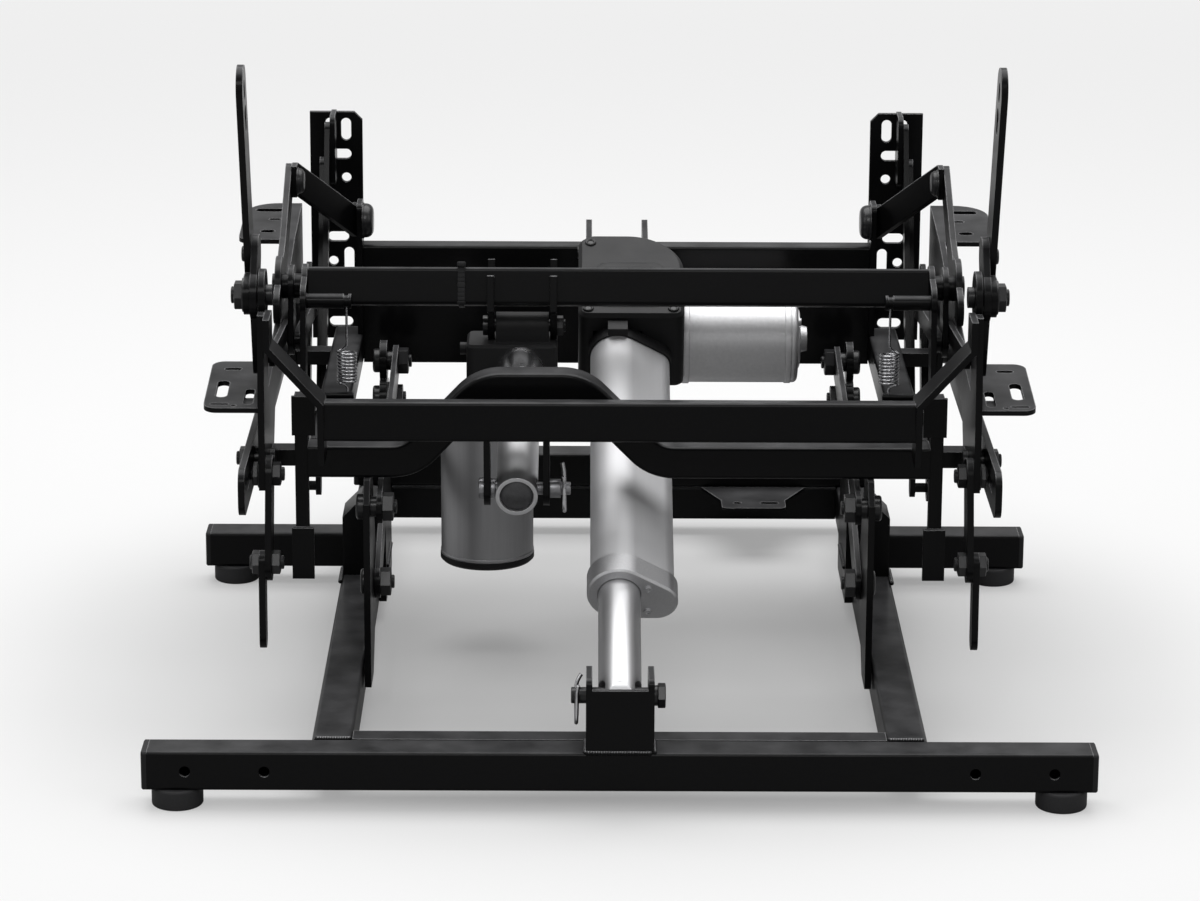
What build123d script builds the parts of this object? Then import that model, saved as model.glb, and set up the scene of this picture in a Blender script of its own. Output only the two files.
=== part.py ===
from build123d import *
import math
import os

# All sizes are in millimetres. While the pieces are drawn, X is to the right, Y runs
# from the rear cross tube (Y = 0) to the front and Z is up from the floor. The whole
# is moved along Y at the end so that the origin is under the middle of its box.
# Sides are drawn at +X and mirrored; a distance from the middle plane ends in _X.

# Square tube of the base
BASE_WIDTH = 700.0
TUBE = 30.0
TUBE_WALL = 2.0
TUBE_ROUND = 3.0
FOOT_HEIGHT = 15.0
FOOT_RADIUS = 19.0
FOOT_INSET = 25.0
CAP_THICKNESS = 4.0
CAP_PLUG_LENGTH = 14.0
CAP_FIT = 0.2
SIDE_TUBE_X = 197.0
SIDE_TUBE_END_Y = 706.0
OUTRIGGER_Y = 546.6
REAR_HOLE_RADIUS = 4.0
REAR_HOLES_X = (260.0, 318.0)
STIFFENER_DEPTH = 18.0
STIFFENER_THICKNESS = 6.0

# Sheet thicknesses
THIN_SHEET = 2.5
LINK_SHEET = 4.4
ARM_SHEET = 5.0
PLATE_GAP = 0.3

# Lift linkage, places as (Y, Z)
LIFT_UPPER_BASE = (487.5, 209.5)
LIFT_LOWER_BASE = (479.0, 180.0)
LIFT_UPPER_CARRIAGE = (193.0, 170.5)
LIFT_LOWER_CARRIAGE = (243.5, 94.0)
LIFT_BOLT_RADIUS = 5.0
LIFT_NUT_RADIUS = 11.0
LIFT_NUT_HEIGHT = 8.0
LIFT_LINK_HALF_WIDTH = 13.0
LIFT_OPEN_BORE_RADIUS = 6.0
LIFT_OPEN_BORE_SHIFT = (0.42, 0.61)
LIFT_SPACER_RADIUS = 8.0
BOLT_HEAD_HEIGHT = 6.0
RUNNING_GAP = 0.08
CLEAR = 0.1
HANGER_GAP = 1.0
RISER_THICKNESS = 6.0
RISER_POST_Y = 415.0
RISER_POST_DEPTH = 40.0
RISER_POST_TOP_Z = 110.0
RISER_POST_WIDTH = 29.0

# Carriage
RAIL_TUBE = 25.0
RAIL_X = 214.0
ARCH_Y = 207.5
ARCH_LOW_Z = 205.0
ARCH_RISE = 58.0
ARCH_TOP_X = (-105.0, -30.0)
ARCH_FOOT_X = (-160.0, 28.0)
ARCH_BEND_RADIUS = 34.0
BEAM_Y = 550.0
BEAM_DEPTH = 20.0
BEAM_BOTTOM_Z = 191.0
BEAM_HEIGHT = 102.5
RAIL_END_Y = 572.0
MECHANISM_RAIL_X = 280.0
MECHANISM_RAIL_Z = (188.0, 224.0)
MECHANISM_RAIL_Y = (100.0, 560.0)
SEAT_PLATE_X = 268.0
SEAT_FLANGE_OUT_X = 315.0
SEAT_FLANGE_THICKNESS = 4.0
REAR_FLANGE_Y = (155.0, 252.0)
REAR_FLANGE_Z = (259.0, 270.0)
FRONT_FLANGE_Y = (504.0, 602.0)
FRONT_FLANGE_Z = (309.0, 318.0)
FLANGE_ROUND = 10.0
FRONT_FLANGE_ROUND = 28.0
# Slots as X, Y, length, width and turn
REAR_FLANGE_SLOTS = ((298, 236, 13, 5, 0), (303, 194, 34, 9, 90), (303, 163, 14, 3.5, 0),
                     (281.5, 178, 32, 7, 90), (292, 160, 4, 4, 0))
FRONT_FLANGE_SLOTS = ((294, 583, 24, 9, 0), (288, 558, 10, 5, 0), (292, 526, 12, 8, 0))
SEAT_BOLTS = ((200.0, 207.0), (530.0, 207.0))
REAR_TUBE_CENTRE = (160.0, 248.6)
REAR_TUBE_HALF_LENGTH = 223.0
REAR_TUBE_TILT = 10.0
STRAP_WIDTH = 32.0
STRAP_TOP_Z = 330.0
STRAP_BEND_Z = (306.0, 262.0)
STRAP_BOTTOM_Z = 216.0
STRAP_SHEET = 5.0

# Lift actuator
CLEVIS_PIN = (11.0, 81.0)
CLEVIS_PIN_RADIUS = 6.0
CLEVIS_WIDTH = 50.0
CLEVIS_WALL = 4.6
CLEVIS_WEB_SHEET = 4.0
CLEVIS_PIN_TAIL = 11.0
CLEVIS_HEAD_RADIUS = 8.5
CLIP_WIRE = 2.4
CLIP_X = 6.0
LIFT_EAR_X = 20.8
CLEVIS_WEB_Y = -14.0
CLEVIS_EAR_DEPTH = 38.0
CLEVIS_WEB_TOP_Z = 93.0
CLEVIS_EAR_TOP_Z = 101.0
LIFT_FRONT_PIN = (517.0, 295.5)
LIFT_FRONT_PIN_RADIUS = 5.0
LIFT_SLOPE = 23.436
LIFT_REACH = 546.32
LIFT_EYE_RADIUS = 11.7
LIFT_EYE_OUTER_RADIUS = 15.5
LIFT_ROD_RADIUS = 16.0
LIFT_ROD_WALL = 2.5
BARREL_BIG_RADIUS = 22.0
BARREL_SMALL_RADIUS = 14.0
BARREL_SMALL_CENTRE = (28.0, -8.0)
BARREL_WALL = 2.5
BARREL_LENGTH = 283.0
LIFT_GEARBOX_LENGTH = 130.0
LIFT_FLANGE_LENGTH = 20.0
LIFT_FLANGE_GROWTH = 2.6
LIFT_MOTOR_RADIUS = 36.0
FLANGE_SCREWS = ((22.0, 6.0), (21.5, -16.5))
FLANGE_SCREW_RADIUS = 3.0
LIFT_MOTOR_LENGTH = 94.0
LIFT_MOTOR_PLACE = (-85.0, -24.0)
LIFT_ROD_TOP = -160.0
GEARBOX_X = (-32.0, 54.0)
GEARBOX_Z = (-38.0, 34.0)
LUG_HALF_WIDTH = 20.3
SCREW_RADIUS = 7.0
ROD_GAP = 0.5

# Drive tube and recline actuator
DRIVE_CENTRE = (360.0, 304.0)
DRIVE_TUBE_TILT = 16.0
DRIVE_JOURNAL_RADIUS = 10.0
RECLINE_EAR_PIN = (373.0, 269.0)
RECLINE_REAR_PIN = (166.0, 193.5)
RECLINE_PIN_RADIUS = 5.0
RECLINE_EYE_SHIFT = (-1.14, 1.07)
RECLINE_EYE_RADIUS = 6.8
RECLINE_X = -78.0
RECLINE_EARS_X = (-104.5, -54.5)
RECLINE_EAR_SHEET = 5.5
RECLINE_SLOPE = 12.75
RECLINE_ROD_RADIUS = 16.0
RECLINE_ROD_WALL = 3.0
RECLINE_ROD_TAIL = 15.0
RECLINE_PLUG_DEPTH = 3.0
RECLINE_EAR_GAP = 4.0
EAR_BORDER = 6.0
EAR_REAR_DROP = 7.0
EAR_FRONT_RISE = 8.0
EAR_ARM_HALF_WIDTH = 11.0
RECLINE_MOTOR_X = -105.5
RECLINE_MOTOR_Y = 375.0
RECLINE_MOTOR_RADIUS = 37.5
RECLINE_CAP_HEIGHT = 6.0
RECLINE_POCKET = 11.0
RECLINE_MOTOR_BOTTOM_Z = 73.0
RECLINE_MOTOR_TOP_Z = 190.0
RECLINE_BOX_X = (-121.5, -48.5)
RECLINE_BOX_Y = (350.0, 400.0)
RECLINE_BOX_TOP_Z = 258.0

# Back
BACK_PIVOT = (187.0, 339.0)
BACK_PIN_RADIUS = 6.0
BACK_LINK_PIN = (205.0, 285.0)
BACK_DRIVE_PIN = (359.0, 270.0)
BACK_ARM_X = 279.6
BACK_ARM_FOOT = (219.0, 338.8)
BACK_ARM_TOP = (161.5, 503.0)
BACK_ARM_HALF_WIDTH = 17.0
BACK_SLOT_LENGTH = 16.5
BACK_SLOT_PLACE = (162.0, 501.0)
BACK_KEYHOLE_PLACE = (171.0, 475.0)
BACK_SLOT_RADIUS = 4.2

# Footrest linkage
FOOT_MAIN_PIVOT = (575.0, 262.0)
FOOT_MAIN_LENGTH = 160.0
FOOT_MAIN_ANGLE = -112.0
FOOT_DRIVE_PIN = (560.0, 240.0)
DRIVE_ARM_PIN = (351.0, 262.0)
FOOT_CONTROL_PIVOT = (561.0, 232.0)
FOOT_CONTROL_END = (512.0, 93.5)
FOOT_BRACKET_PIVOT = (622.0, 345.0)
FOOT_GUIDE_OFFSET = (-2.2, 31.9)
FOOT_PIN_RADIUS = 4.0
FOOT_LINK_HALF_WIDTH = 9.0
OPEN_BORE_BACK_RADIUS = 4.7
OPEN_BORE_DRIVE_RADIUS = 5.45
OPEN_BORE_CONTROL_RADIUS = 6.2
BACK_OPEN_SHIFT = (-0.04, 0.46)
DRIVE_OPEN_SHIFT = (-0.405, -1.163)
CONTROL_OPEN_SHIFT = (-1.44, -1.25)
PERFORATED_X = 218.0
PERFORATED_WIDTH = 45.0
PERFORATED_Y = 640.0
PERFORATED_Z = (190.0, 390.0)
PERFORATED_SHEET = 4.0

# Springs
SPRING_POST = (335.0, 298.0)
SPRING_POST_RADIUS = 6.0
SPRING_X = 216.0
SPRING_ANCHOR_RADIUS = 3.0
SPRING_GROOVE = 1.2
SPRING_WIRE = 2.0
SPRING_COIL_RADIUS = 7.2
SPRING_TURNS = 9
SPRING_PITCH = 2.8
SPRING_LOW_LEAD = 6.0
SPRING_HIGH_LEAD = 7.2

# Braces beside the drive tube and ties at the beam's ends
BRACE_X = 247.5
BRACE_SHEET = 4.5
BRACE_FOOT = (318.0, 212.0)
BRACE_HALF_WIDTH = 12.0
BRACE_FOOT_DEPTH = 14.0
BRACE_FOOT_RISE = 4.0
DRIVE_TUBE_GAP = 0.5
SEAT_ARM_PATH = ((330.0, 294.0), (410.0, 322.0), (486.0, 364.0))
SEAT_ARM_HALF_WIDTH = 13.0
BEAM_END_TOP_Z = 330.0
BEAM_END_BOLT_Z = 314.5
TIE_HEIGHT = 26.0
TIE_END_LENGTH = 16.0
TIE_DROP = 29.0
ARM_BOLT_RADIUS = 10.0
ARM_BOLT_BACK = 3.5
ARM_BOLT_DOME = 4.0

# Levers that hang from the rear ends of the seat plates
LEVER_TOP = (160.0, 206.0)
LEVER_LOW = (140.0, 142.0)
LEVER_TIP = (137.0, 84.0)
LEVER_HALF_WIDTH = 14.0
LEVER_TIP_HALF_WIDTH = 9.0

# Levels and planes that follow from the sizes above
TUBE_TOP_Z = FOOT_HEIGHT + TUBE
TUBE_MID_Z = FOOT_HEIGHT + TUBE / 2
HALF_TUBE = TUBE / 2
HALF_RAIL = RAIL_TUBE / 2
SIDE_TUBE_OUT_X = SIDE_TUBE_X + TUBE
FOOT_X = BASE_WIDTH / 2 - FOOT_INSET
REAR_EDGE_Y = -FOOT_RADIUS
MIDDLE_Y = (REAR_EDGE_Y + SIDE_TUBE_END_Y) / 2
RISER_X = SIDE_TUBE_X - RISER_THICKNESS
HANGER_OUT_X = SIDE_TUBE_X - HANGER_GAP
LOWER_LINK_X = RISER_X - PLATE_GAP - LINK_SHEET
UPPER_LINK_X = LOWER_LINK_X - PLATE_GAP - LINK_SHEET
CONTROL_X = SEAT_PLATE_X - PLATE_GAP - LINK_SHEET
MAIN_X = CONTROL_X - PLATE_GAP - LINK_SHEET
DRIVE_LINK_X = MAIN_X - PLATE_GAP - LINK_SHEET
UPPER_FOOT_X = DRIVE_LINK_X - PLATE_GAP - LINK_SHEET
GUIDE_X = UPPER_FOOT_X - PLATE_GAP - LINK_SHEET
BRACKET_LUG_X = GUIDE_X - PLATE_GAP - LINK_SHEET
DRIVE_TUBE_HALF_LENGTH = BRACE_X - DRIVE_TUBE_GAP
RAIL_OUT_X = RAIL_X + RAIL_TUBE
SEAT_FACE_X = SEAT_PLATE_X + ARM_SHEET


def moved(place, shift):
    """Place moved by a (Y, Z) shift."""
    return (place[0] + shift[0], place[1] + shift[1])


def polar(place, length, degrees):
    """Place at a length and an angle above +Y from another place."""
    angle = math.radians(degrees)
    return (place[0] + length * math.cos(angle), place[1] + length * math.sin(angle))


FOOT_MAIN_END = polar(FOOT_MAIN_PIVOT, FOOT_MAIN_LENGTH, FOOT_MAIN_ANGLE)
FOOT_GUIDE_START = moved(FOOT_MAIN_END, FOOT_GUIDE_OFFSET)
FOOT_GUIDE_END = moved(FOOT_BRACKET_PIVOT, FOOT_GUIDE_OFFSET)


def block(x, y, z):
    """Box between pairs of coordinates."""
    size = Box(x[1] - x[0], y[1] - y[0], z[1] - z[0])
    return Pos((x[0] + x[1]) / 2, (y[0] + y[1]) / 2, (z[0] + z[1]) / 2) * size


def rod(place, x_from, x_to, radius):
    """Round bar along X through a (Y, Z) place."""
    plane = Plane(origin=(x_from, place[0], place[1]), x_dir=(0, 1, 0), z_dir=(1, 0, 0))
    return extrude(plane * Circle(radius), amount=x_to - x_from)


def slab(profile, x_from, thickness):
    """Sketch drawn in (Y, Z), made a plate from x_from outwards."""
    return extrude(Plane.YZ.offset(x_from) * profile, amount=thickness)


def bar_profile(start, end, radius):
    """Flat bar with round ends between two places."""
    length = math.dist(start, end)
    angle = math.degrees(math.atan2(end[1] - start[1], end[0] - start[0]))
    middle = ((start[0] + end[0]) / 2, (start[1] + end[1]) / 2)
    return Pos(*middle) * Rot(0, 0, angle) * SlotCenterToCenter(length, 2 * radius)


def disc(place, radius):
    """Round profile at a place."""
    return Pos(*place) * Circle(radius)


def outline(points, radius=0.0):
    """Profile through corner points, with its corners rounded."""
    face = make_face(Polyline(*points, close=True))
    if radius > 0:
        face = fillet(face.vertices(), radius)
    return face


def both_sides(shape):
    """A piece at +X and its mirror image at -X."""
    return [shape, mirror(shape, about=Plane.YZ)]


def square_tube(size, length, wall=TUBE_WALL, rounding=TUBE_ROUND):
    """Square tube along X, centred on the origin."""
    section = RectangleRounded(size, size, rounding)
    hollow = RectangleRounded(size - 2 * wall, size - 2 * wall, rounding - wall / 2)
    return extrude(Plane.YZ.offset(-length / 2) * (section - hollow), amount=length)


def tube_along_y(size, x_middle, z_middle, y_from, y_to):
    """Square tube along Y."""
    piece = Rot(0, 0, 90) * square_tube(size, y_to - y_from)
    return Pos(x_middle, (y_from + y_to) / 2, z_middle) * piece


def hexagon_nut(place, x_from, height, radius, bore):
    """Hexagon nut along X."""
    profile = RegularPolygon(radius, 6) - Circle(bore)
    plane = Plane(origin=(x_from, place[0], place[1]), x_dir=(0, 1, 0), z_dir=(1, 0, 0))
    return extrude(plane * profile, amount=height)


def along_x(piece, turn=0.0, place=(0.0, 0.0), x=0.0):
    """A piece drawn along X, turned about X and set at a (Y, Z) place."""
    return Pos(x, place[0], place[1]) * Rot(turn, 0, 0) * piece


def hanger_profile():
    """Rear side plate of the carriage, below the arch tube."""
    top = ARCH_LOW_Z - HALF_RAIL
    points = [(177, 28), (215, 28), (262, 78), (262, 120), (225, top), (192, top), (177, 176)]
    return outline(points, 3) + disc(LIFT_UPPER_CARRIAGE, 15)


def drilled(profile, *holes):
    """Profile with round holes, each a (place, radius)."""
    for place, radius in holes:
        profile -= disc(place, radius)
    return profile


def rear_base_tube():
    """Cross tube at the back of the base with four screw holes in its rear face."""
    piece = Pos(0, 0, TUBE_MID_Z) * square_tube(TUBE, BASE_WIDTH - 2 * CAP_THICKNESS)
    for x in REAR_HOLES_X:
        for side in (-1, 1):
            hole = Cylinder(REAR_HOLE_RADIUS, 2 * TUBE_WALL, rotation=(90, 0, 0))
            piece -= Pos(side * x, -HALF_TUBE, TUBE_MID_Z) * hole
    return [piece]


def side_base_tubes():
    """Two long tubes from back to front."""
    end = SIDE_TUBE_END_Y - CAP_THICKNESS
    return both_sides(tube_along_y(TUBE, SIDE_TUBE_X + HALF_TUBE, TUBE_MID_Z, HALF_TUBE, end))


def front_base_tubes():
    """A tube between the side tubes and one on top of them."""
    y = SIDE_TUBE_END_Y - HALF_TUBE
    lower = Pos(0, y, TUBE_MID_Z) * square_tube(TUBE, 2 * SIDE_TUBE_X)
    upper = Pos(0, y, TUBE_MID_Z + TUBE) * square_tube(TUBE, 2 * SIDE_TUBE_OUT_X)
    return [lower, upper]


def outrigger_tubes():
    """Short tubes outwards to the front feet."""
    end = BASE_WIDTH / 2 - CAP_THICKNESS
    length = end - SIDE_TUBE_OUT_X
    piece = Pos(SIDE_TUBE_OUT_X + length / 2, OUTRIGGER_Y, TUBE_MID_Z) * square_tube(TUBE, length)
    return both_sides(piece)


def end_cap():
    """Plastic cap with a plug, its flange from X = 0 outwards."""
    flange = extrude(Plane.YZ * RectangleRounded(TUBE, TUBE, TUBE_ROUND), amount=CAP_THICKNESS)
    flange = chamfer(flange.faces().sort_by(Axis.X)[-1].edges(), 1.0)
    inside = TUBE - 2 * TUBE_WALL - 2 * CAP_FIT
    plug = extrude(Plane.YZ * RectangleRounded(inside, inside, TUBE_ROUND), amount=-CAP_PLUG_LENGTH)
    return flange + plug


def tube_end_caps():
    """Caps in the open ends of the base tubes."""
    end = BASE_WIDTH / 2 - CAP_THICKNESS
    rear = Pos(end, 0, TUBE_MID_Z) * end_cap()
    outer = Pos(end, OUTRIGGER_Y, TUBE_MID_Z) * end_cap()
    upper = Pos(SIDE_TUBE_OUT_X, SIDE_TUBE_END_Y - HALF_TUBE, TUBE_MID_Z + TUBE) * end_cap()
    front_place = (SIDE_TUBE_X + HALF_TUBE, SIDE_TUBE_END_Y - CAP_THICKNESS, TUBE_MID_Z)
    short_plug = end_cap() - block((-CAP_PLUG_LENGTH, 0), (-TUBE, TUBE), (-TUBE, TUBE))
    front = Pos(*front_place) * Rot(0, 0, 90) * short_plug
    pieces = []
    for cap in (rear, outer, upper, front):
        pieces += both_sides(cap)
    return pieces


def base_feet():
    """Four round feet under the tube ends."""
    foot = Cylinder(FOOT_RADIUS, FOOT_HEIGHT, align=(Align.CENTER, Align.CENTER, Align.MIN))
    foot = fillet(foot.edges().filter_by(GeomType.CIRCLE), 2.0)
    pieces = []
    for y in (0, OUTRIGGER_Y):
        pieces += both_sides(Pos(FOOT_X, y, 0) * foot)
    return pieces


def riser_posts():
    """Folded sheet posts on the side tubes that back the riser plates."""
    outer_x = SIDE_TUBE_X + RISER_POST_WIDTH
    bevel = 15.0
    points = [(SIDE_TUBE_X, TUBE_TOP_Z), (outer_x, TUBE_TOP_Z), (outer_x, RISER_POST_TOP_Z - bevel),
              (outer_x - bevel, RISER_POST_TOP_Z), (SIDE_TUBE_X, RISER_POST_TOP_Z)]
    face = make_face(Polyline(*points, close=True))
    inner = offset(face, -THIN_SHEET, kind=Kind.INTERSECTION)
    body = extrude(Plane.XZ.offset(-RISER_POST_Y) * face, amount=-RISER_POST_DEPTH)
    hollow = Plane.XZ.offset(-RISER_POST_Y - THIN_SHEET) * inner
    return both_sides(body - extrude(hollow, amount=-RISER_POST_DEPTH))



def riser_plates():
    """Plates inside the side tubes that carry the lift links."""
    base = outline([(430, 16), (532, 16), (532, 48), (506, 190), (470, 196), (458, 176), (430, 110)], 4)
    profile = base + disc(LIFT_UPPER_BASE, 17) + disc(LIFT_LOWER_BASE, 17)
    profile = drilled(profile, (LIFT_UPPER_BASE, LIFT_BOLT_RADIUS), (LIFT_LOWER_BASE, LIFT_BOLT_RADIUS))
    return both_sides(slab(profile, RISER_X, RISER_THICKNESS))


def pivot_bolt(place, head_x, link_x, spaced):
    """Bolt from outside a plate through a link, with a nut on the inner side."""
    nut_x = link_x - CLEAR - LIFT_NUT_HEIGHT
    shank = rod(place, nut_x - 2.0, head_x, LIFT_BOLT_RADIUS)
    head = rod(place, head_x, head_x + BOLT_HEAD_HEIGHT, LIFT_NUT_RADIUS - 1.0)
    head = fillet(head.edges().sort_by(Axis.X)[-1], 2.0)
    piece = shank + head + hexagon_nut(place, nut_x, LIFT_NUT_HEIGHT, LIFT_NUT_RADIUS, LIFT_BOLT_RADIUS)
    if spaced:
        piece += rod(place, link_x + LINK_SHEET + CLEAR, RISER_X, LIFT_SPACER_RADIUS)
    return piece


def base_pivot_bolts():
    """Bolts of the lift links in the riser plates."""
    upper = pivot_bolt(LIFT_UPPER_BASE, SIDE_TUBE_X, UPPER_LINK_X, True)
    lower = pivot_bolt(LIFT_LOWER_BASE, SIDE_TUBE_X, LOWER_LINK_X, False)
    return both_sides(upper) + both_sides(lower)


def carriage_pivot_bolts():
    """Bolts of the lift links in the hanger plates."""
    upper = pivot_bolt(LIFT_UPPER_CARRIAGE, HANGER_OUT_X, UPPER_LINK_X, True)
    lower = pivot_bolt(LIFT_LOWER_CARRIAGE, HANGER_OUT_X, LOWER_LINK_X, False)
    return both_sides(upper) + both_sides(lower)


def upper_lift_links():
    """Long flat links from the riser plates back to the hanger plates."""
    profile = bar_profile(LIFT_UPPER_CARRIAGE, LIFT_UPPER_BASE, LIFT_LINK_HALF_WIDTH)
    bore = LIFT_BOLT_RADIUS + RUNNING_GAP
    profile = drilled(profile, (LIFT_UPPER_CARRIAGE, bore), (LIFT_UPPER_BASE, bore))
    return both_sides(slab(profile, UPPER_LINK_X, LINK_SHEET))


def lower_lift_links():
    """Flat links under the upper ones that keep the carriage level."""
    profile = bar_profile(LIFT_LOWER_CARRIAGE, LIFT_LOWER_BASE, LIFT_LINK_HALF_WIDTH)
    open_place = moved(LIFT_LOWER_CARRIAGE, LIFT_OPEN_BORE_SHIFT)
    bore = LIFT_BOLT_RADIUS + RUNNING_GAP
    profile = drilled(profile, (open_place, LIFT_OPEN_BORE_RADIUS), (LIFT_LOWER_BASE, bore))
    return both_sides(slab(profile, LOWER_LINK_X, LINK_SHEET))


def actuator_clevis():
    """U-shaped bracket on the rear base tube."""
    half = CLEVIS_WIDTH / 2
    front = CLEVIS_WEB_Y + CLEVIS_EAR_DEPTH
    web = block((-half, half), (CLEVIS_WEB_Y, CLEVIS_WEB_Y + CLEVIS_WEB_SHEET),
                (TUBE_TOP_Z, CLEVIS_WEB_TOP_Z))
    profile = outline([(CLEVIS_WEB_Y, TUBE_TOP_Z), (HALF_TUBE, TUBE_TOP_Z), (front, CLEVIS_PIN[1] - 12),
                       (front, CLEVIS_EAR_TOP_Z), (CLEVIS_WEB_Y, CLEVIS_EAR_TOP_Z)])
    profile = drilled(fillet(profile.vertices().group_by(Axis.Y)[-1], 6), (CLEVIS_PIN, CLEVIS_PIN_RADIUS))
    ear = slab(profile, half - CLEVIS_WALL, CLEVIS_WALL)
    bracket = web
    for side in both_sides(ear):
        bracket += side
    return [bracket]


def clevis_pin():
    """Headed pin through the clevis."""
    half = CLEVIS_WIDTH / 2
    pin = rod(CLEVIS_PIN, -half - CLEVIS_PIN_TAIL, half + 3, CLEVIS_PIN_RADIUS)
    head = fillet(rod(CLEVIS_PIN, half + 3, half + 8, CLEVIS_HEAD_RADIUS).edges(), 1.0)
    cross = Cylinder(CLIP_WIRE / 2, 4 * CLEVIS_PIN_RADIUS)
    return [pin + head - Pos(-half - CLIP_X, CLEVIS_PIN[0], CLEVIS_PIN[1]) * cross]


def spring_clip(x, place, pin_radius, turn):
    """Wire clip: a straight leg through the pin and a bent leg around it."""
    low = -pin_radius - 9
    high = pin_radius + 10
    out = -pin_radius - 3
    points = [(0, 0, low), (0, 0, high), (out, 0, high), (out - 2, 0, 2), (out + 4, 0, low + 4)]
    path = FilletPolyline(*points, radius=3.0)
    wire = sweep((path ^ 0) * Circle(CLIP_WIRE / 2), path=path)
    return Pos(x, place[0], place[1]) * Rot(0, 0, turn) * wire


def clevis_r_clip():
    """Spring clip that keeps the clevis pin."""
    return [spring_clip(-CLEVIS_WIDTH / 2 - CLIP_X, CLEVIS_PIN, CLEVIS_PIN_RADIUS, 90)]


def stiffener_bar():
    """Flat bar in front of the rear base tube."""
    half = SIDE_TUBE_X
    y = (HALF_TUBE, HALF_TUBE + STIFFENER_DEPTH)
    return [block((-half, half), y, (TUBE_TOP_Z - STIFFENER_THICKNESS, TUBE_TOP_Z))]


def control_box_bracket():
    """Sheet tab behind the front tubes, with a screw hole and a notch."""
    y = SIDE_TUBE_END_Y - TUBE
    face = make_face(Polyline((78, y), (169, y), (150, y - 40), (150, y - 64), (94, y - 64), (94, y - 40),
                              close=True))
    face = fillet(face.vertices().group_by(Axis.Y)[0], 6)
    face -= Pos(108, y - 48) * Circle(3.5)
    face -= Pos(136, y - 48) * SlotOverall(16, 7)
    return [Pos(0, 0, TUBE_TOP_Z - THIN_SHEET) * extrude(face, amount=THIN_SHEET)]


def arch_tube():
    """Rear cross tube of the carriage, raised over the recline rod."""
    high = ARCH_LOW_Z + ARCH_RISE
    path = FilletPolyline((-RAIL_OUT_X, ARCH_Y, ARCH_LOW_Z), (ARCH_FOOT_X[0], ARCH_Y, ARCH_LOW_Z),
                          (ARCH_TOP_X[0], ARCH_Y, high), (ARCH_TOP_X[1], ARCH_Y, high),
                          (ARCH_FOOT_X[1], ARCH_Y, ARCH_LOW_Z), (RAIL_OUT_X, ARCH_Y, ARCH_LOW_Z),
                          radius=ARCH_BEND_RADIUS)
    plane = Plane(origin=(-RAIL_OUT_X, ARCH_Y, ARCH_LOW_Z), x_dir=(0, 1, 0), z_dir=(1, 0, 0))
    outer = sweep(plane * RectangleRounded(RAIL_TUBE, RAIL_TUBE, TUBE_ROUND), path=path)
    inside = RAIL_TUBE - 2 * TUBE_WALL
    inner = sweep(plane * RectangleRounded(inside, inside, TUBE_WALL / 2), path=path)
    return [outer - inner]


def carriage_rails():
    """Side tubes of the carriage."""
    start = ARCH_Y + HALF_RAIL
    return both_sides(tube_along_y(RAIL_TUBE, RAIL_X + HALF_RAIL, ARCH_LOW_Z, start, RAIL_END_Y))


def hanger_plates():
    """Plates under the arch tube that hold the lift links."""
    profile = drilled(hanger_profile(), (LIFT_UPPER_CARRIAGE, LIFT_BOLT_RADIUS),
                      (LIFT_LOWER_CARRIAGE, LIFT_BOLT_RADIUS))
    return both_sides(slab(profile, RISER_X, HANGER_OUT_X - RISER_X))


def front_beam():
    """Deep hollow beam across the front of the carriage."""
    outer = RectangleRounded(BEAM_DEPTH, BEAM_HEIGHT, TUBE_ROUND)
    inner = RectangleRounded(BEAM_DEPTH - 2 * TUBE_WALL, BEAM_HEIGHT - 2 * TUBE_WALL, TUBE_WALL / 2)
    beam = extrude(Plane.YZ.offset(-RAIL_X) * (outer - inner), amount=2 * RAIL_X)
    return [Pos(0, BEAM_Y + BEAM_DEPTH / 2, BEAM_BOTTOM_Z + BEAM_HEIGHT / 2) * beam]


def lift_ears():
    """Two ears on the front beam that hold the lift actuator."""
    y, z = LIFT_FRONT_PIN
    profile = outline([(BEAM_Y, z - 34), (BEAM_Y, z + 21), (y, z + 15), (y, z - 15)])
    profile = drilled(profile + disc(LIFT_FRONT_PIN, 15), (LIFT_FRONT_PIN, LIFT_FRONT_PIN_RADIUS))
    return both_sides(slab(profile, LIFT_EAR_X, ARM_SHEET))


def lift_top_pin():
    """Headed pin between the ears, through the actuator's lug."""
    reach = LIFT_EAR_X + ARM_SHEET
    pin = rod(LIFT_FRONT_PIN, -reach - 7, reach, LIFT_FRONT_PIN_RADIUS)
    pin += rod(LIFT_FRONT_PIN, reach, reach + 4, LIFT_FRONT_PIN_RADIUS + 4)
    pin += hexagon_nut(LIFT_FRONT_PIN, -reach - 6, 6, 9, LIFT_FRONT_PIN_RADIUS)
    return [pin]


def beam_end_plates():
    """Plates on the rails that close the beam's ends and carry the ties."""
    y = (BEAM_Y - 6, BEAM_Y + BEAM_DEPTH + 2)
    bottom = ARCH_LOW_Z + HALF_RAIL
    profile = outline([(y[0], bottom), (y[1], bottom), (y[1], BEAM_END_TOP_Z), (y[0], BEAM_END_TOP_Z)])
    profile = fillet(profile.vertices().group_by(Axis.Y)[-1], 6)
    return both_sides(slab(profile, RAIL_X, BRACE_SHEET))


def beam_end_bolts():
    """Large domed bolts on the inner face of the beam end plates."""
    place = (BEAM_Y + 2, BEAM_END_BOLT_Z)
    head = rod(place, RAIL_X - 9, RAIL_X, 14)
    head = fillet(head.edges().sort_by(Axis.X)[0], 5.0)
    return both_sides(head)


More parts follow.
